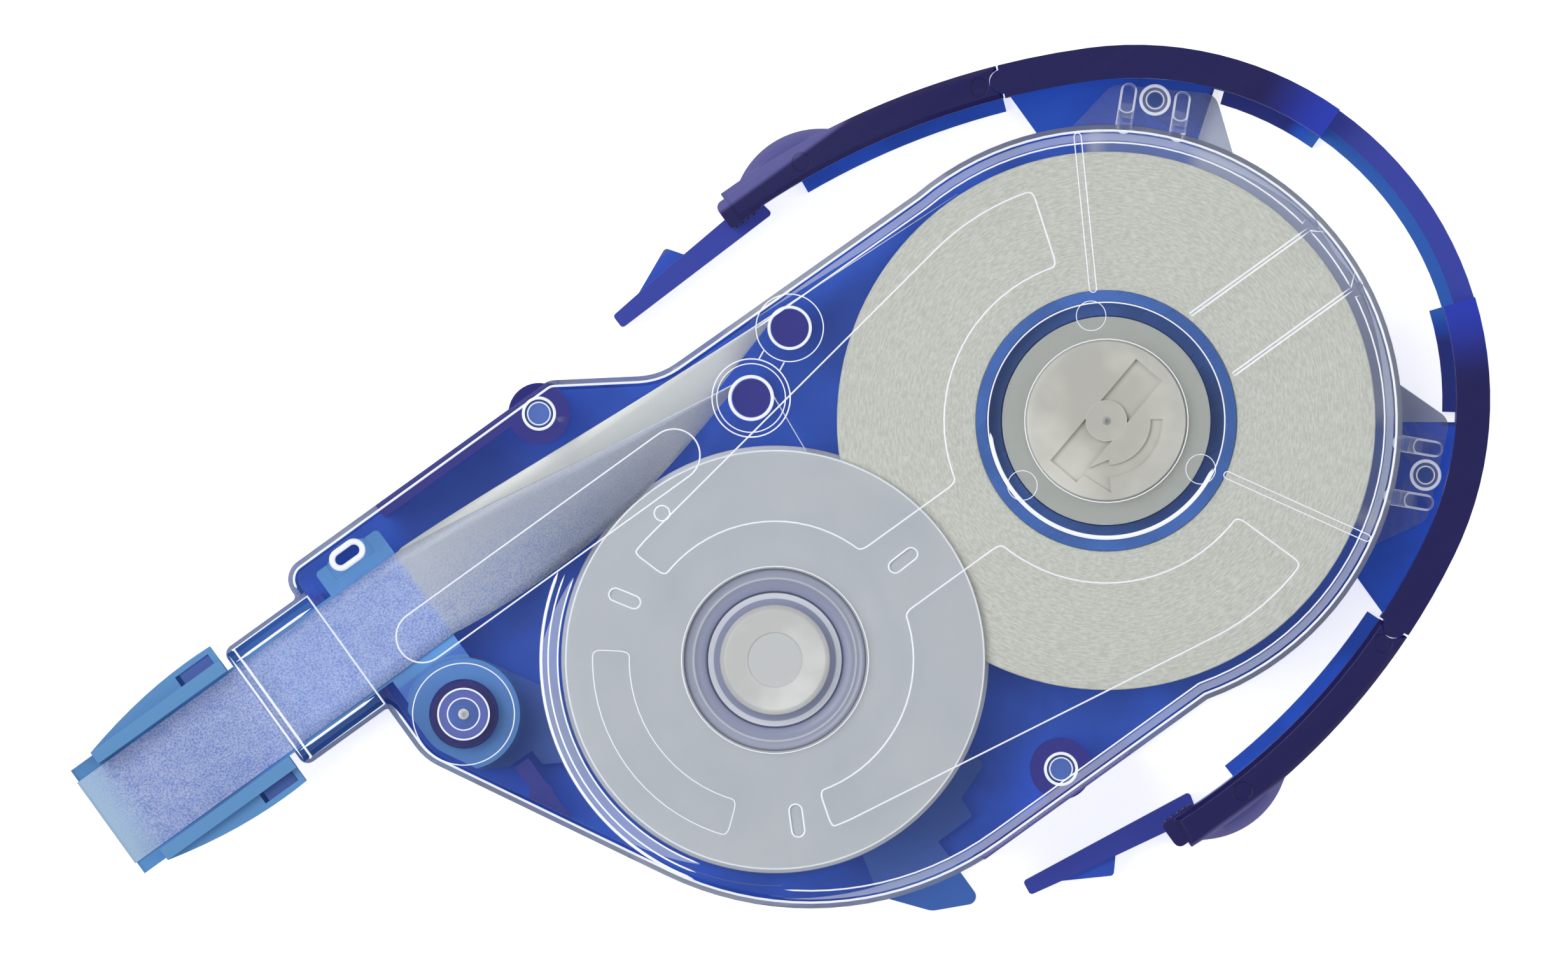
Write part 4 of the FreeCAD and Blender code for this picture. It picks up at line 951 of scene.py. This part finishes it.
def tab_rings():
    """Rounded rims of the pins and gussets on the cover's two feet, over blind blue seats."""
    skins, seats = [], []
    for side in (1, -1):
        heading = side * PIN_ANGLE
        pin = around(SUPPLY, PIN_REACH, heading)
        skins.append(bead(circle(pin, 1.2, TRAY_FLOOR + 1.85), 0.14, True))
        skins.append(bead(circle(pin, 0.75, TRAY_FLOOR + 1.85), 0.05, True))
        for offset in (-2.3, 2.3):
            gusset = around(around(SUPPLY, 26.4, heading), offset, heading + 90)
            skins.append(bead(obround(gusset, 1.5, 0.6, TRAY_FLOOR + 1.6, heading), 0.1, True))
        seats.append(stub(pin, 1.15, 0.02, 0.15, 0.0))
    show("tab_rings", joined("tab_rings", skins), "base", "cover_clear", "clear_edge")
    show("tab_seats", joined("tab_seats", seats), "base", "tray_blue")


# ---------------------------------------------------------------- take-up reel and tapes


def takeup_mouth():
    """Stepped mouth of the take-up drum, which shows through the cover's opening."""
    profile = [
        (5.8, 11.9), (7.62, 11.9), (7.62, 12.6), (7.3, 12.5), (6.95, 12.35), (6.87, 12.5),
        (6.8, 12.35), (6.3, 12.15), (5.95, 12.1), (5.8, 12.0),
    ]
    mouth = joined("takeup_mouth", [turned(profile, TAKEUP, 128)])
    show("takeup_mouth", mouth, "takeup", "gear_white", "well_frost")


def flange_slots():
    """The take-up flange's slots: a clear rim round each, and a frosted film inside."""
    rims, films = [], []
    for angle in SLOT_ANGLES:
        middle = around(TAKEUP, SLOT_REACH, angle)
        rims.append(bead(obround(middle, 0.85, 0.55, FLANGE_TOP, angle), 0.07, True))
        films.append(film(obround(middle, 0.85, 0.5, FLANGE_TOP - 0.25, angle), middle))
    show("slot_rims", joined("slot_rims", rims), "takeup", "flange_frost", "clear_edge")
    show("slot_films", joined("slot_films", films), "takeup", "flange_frost")


def tape_skin(centres, headings, twists):
    """Thin film on a path: lying flat at a twist of 0 and standing on edge at 90, closed at its ends."""
    headings, twists = np.radians(headings)[:, None], np.radians(twists)[:, None]
    nothing = np.zeros_like(headings)
    ahead = np.concatenate([np.cos(headings), np.sin(headings), nothing], 1)
    beside = np.concatenate([-np.sin(headings), np.cos(headings), nothing], 1)
    across = beside * np.cos(twists) + np.array([0, 0, 1.0]) * np.sin(twists)
    normal = np.cross(across, ahead)
    thickness = np.full(len(centres), 0.05)
    thickness[[0, -1]] = 0.0
    half = (TAPE_HIGH - TAPE_LOW) / 2
    share = np.linspace(-1, 1, 9)
    share, face = np.concatenate([share, share[::-1]]), np.repeat([1.0, -1.0], 9)
    points = centres[:, None] + across[:, None] * (share * half)[None, :, None]
    points = points + normal[:, None] * (thickness[:, None] * face[None])[:, :, None]
    return grid_mesh(points, closed_around=True)


def tape_run(start, post, post_angle, reel, reel_radius, lead):
    """A flat lead, a quarter twist up to a post, a wrap round the post and a straight run to a reel.

    The twisting part goes straight from start to the post, with half a sine of sag on top, and the
    last part leaves the post along the line that touches both the wrap and the reel.
    """
    middle = np.array([0, 0, TAPE_MIDDLE])
    away = reel - post
    base = math.degrees(math.atan2(away[1], away[0]))
    leave = base + math.degrees(math.acos((POST_WRAP - reel_radius) / np.linalg.norm(away[:2])))
    run = around(post, POST_WRAP, post_angle) + middle - start
    heading = math.degrees(math.atan2(run[1], run[0]))

    flat_x = np.linspace(lead, start[0] - 0.6, 14)
    flat = np.stack([flat_x, np.full(14, NOSE_Y), np.full(14, start[2])], 1)
    share = np.linspace(0, 1, 41)[:, None]
    sag = np.concatenate([0 * share, -0.9 + 0 * share, 0.8 * (1 - share)], 1) * np.sin(np.pi * share)
    twisting = start + run * share + sag
    bend = np.linspace(post_angle, leave, 14)[1:]
    bent = np.stack([around(post, POST_WRAP, angle) + middle for angle in bend])
    last = around(reel, reel_radius, leave) + middle

    centres = np.concatenate([flat, twisting, bent, last[None]])
    headings = np.concatenate([np.zeros(14), np.full(41, heading), bend - 90, [leave - 90]])
    twists = np.concatenate([np.zeros(14), 90 * share[:, 0], np.full(len(bend) + 1, 90.0)])
    return tape_skin(centres, headings, twists)


def tape_runs():
    """Used tape over the tongue to the take-up reel, and fresh tape from the roll to its underside."""
    back = TONGUE_BACK_X + 0.9
    above = np.array([back, NOSE_Y - 0.1, TONGUE_TOP + 0.1])
    below = np.array([back, NOSE_Y + 0.1, 7.4])
    used = tape_run(above, POST_RETURN, 88, TAKEUP, DRUM_RADIUS + 0.1, NOSE_X + 0.4)
    fresh = tape_run(below, POST_FEED, 93, SUPPLY, ROLL_RADIUS + 0.16, back - 0.7)
    for name, skin in (("return_tape", used), ("feed_tape", fresh)):
        piece = show(name + "_film", joined(name + "_film", [skin]), None, SLOT_OF[name])
        TAPE_MIDDLE * MM
        TAPE_MIDDLE * MM
        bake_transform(piece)
        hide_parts(name)


# ---------------------------------------------------------------- stage


def stage_scene():
    """Floor, soft lamps and a camera that looks straight down on the part."""
    scene = bpy.context.scene
    scene.view_settings.view_transform = "Standard"
    low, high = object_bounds()
    centre = (low + high) / 2
    reach = max(high - low)

    floor = Finish("paper", Roughness=0.9)
    clouds = floor.noise(0.02)
    floor.feed(Base_Color=floor.blend(clouds, linear(240, 240, 241), linear(244, 244, 244)))
    seen = floor.node("ShaderNodeLightPath").outputs["Is Camera Ray"]
    white = floor.node("ShaderNodeEmission", {}, {"Color": (1, 1, 1, 1), "Strength": 0.72})
    none = floor.node("ShaderNodeEmission", {}, {"Color": (0, 0, 0, 1), "Strength": 0.0})
    lift = floor.node("ShaderNodeMixShader", {}, {0: seen, 1: none.outputs[0], 2: white.outputs[0]})
    both = floor.node("ShaderNodeAddShader", {}, {0: floor.shader.outputs[0], 1: lift.outputs[0]})
    floor.tree.links.new(both.outputs[0], floor.output.inputs["Surface"])

    half = reach * 14
    corners = [(-half, -half), (half, -half), (half, half), (-half, half)]
    mesh = bpy.data.meshes.new("floor")
    mesh.from_pydata([(x + centre.x, y + centre.y, low.z) for x, y in corners], [], [(0, 1, 2, 3)])
    mesh.materials.append(floor.material)
    plane = bpy.data.objects.new("floor", mesh)
    scene.collection.objects.link(plane)

    world = bpy.data.worlds.new("room")
    scene.world = world
    world.use_nodes = True
    world.node_tree.nodes["Background"].inputs["Color"].default_value = (1, 1, 1, 1)
    world.node_tree.nodes["Background"].inputs["Strength"].default_value = 0.3

    def lamp(name, place, size, watts):
        light = bpy.data.lights.new(name, "AREA")
        light.shape = "RECTANGLE"
        light.size, light.size_y = size
        light.energy = watts
        holder = bpy.data.objects.new(name, light)
        scene.collection.objects.link(holder)
        turn = (place - centre).to_track_quat("Z", "Y").to_matrix().to_4x4()
        holder.matrix_world = Matrix.Translation(place) @ turn

    lamp("key", centre + Vector((-0.25, 0.35, 0.75)), (0.7, 0.5), 3.6)
    lamp("fill", centre + Vector((0.5, -0.3, 0.6)), (0.6, 0.6), 1.4)

    roll = math.radians(-35.8)
    width = 0.1326                  # of the view, in metres
    aim_x, aim_y, aim_z = -0.0249, 0.0120, 0.008
    camera = bpy.data.cameras.new("camera")
    camera.lens = 1000
    camera.sensor_width = 36
    distance = width * camera.lens / camera.sensor_width
    camera.clip_start = distance * 0.1
    camera.clip_end = distance * 10
    eye = bpy.data.objects.new("camera", camera)
    scene.collection.objects.link(eye)
    place = Matrix.Translation((aim_x, aim_y, aim_z + distance))
    eye.matrix_world = place @ Matrix.Rotation(roll, 4, "Z")
    scene.camera = eye


# how far each piece's sharp edges are rolled over
EDGE = {
    "base": 0.12, "cover": 0.14, "applicator_lever": 0.16, "upper_release_arm": 0.12,
    "lower_release_arm": 0.12, "drive_gear": 0.06, "clutch_hub": 0.12, "clutch_ring": 0.06,
    "supply_core": 0.08, "supply_roll": 0.1, "takeup_gear": 0.06, "takeup_lower_flange": 0.08,
    "takeup_upper_flange": 0.1, "takeup_cap": 0.1, "takeup_winding": 0.05,
}
for node, width in EDGE.items():
    rounded(node, width)

cover_lines()
eyes()
hub_lines()
lever_fills()
nose_lines()
tab_rings()
takeup_mouth()
flange_slots()
tape_runs()
stage_scene()
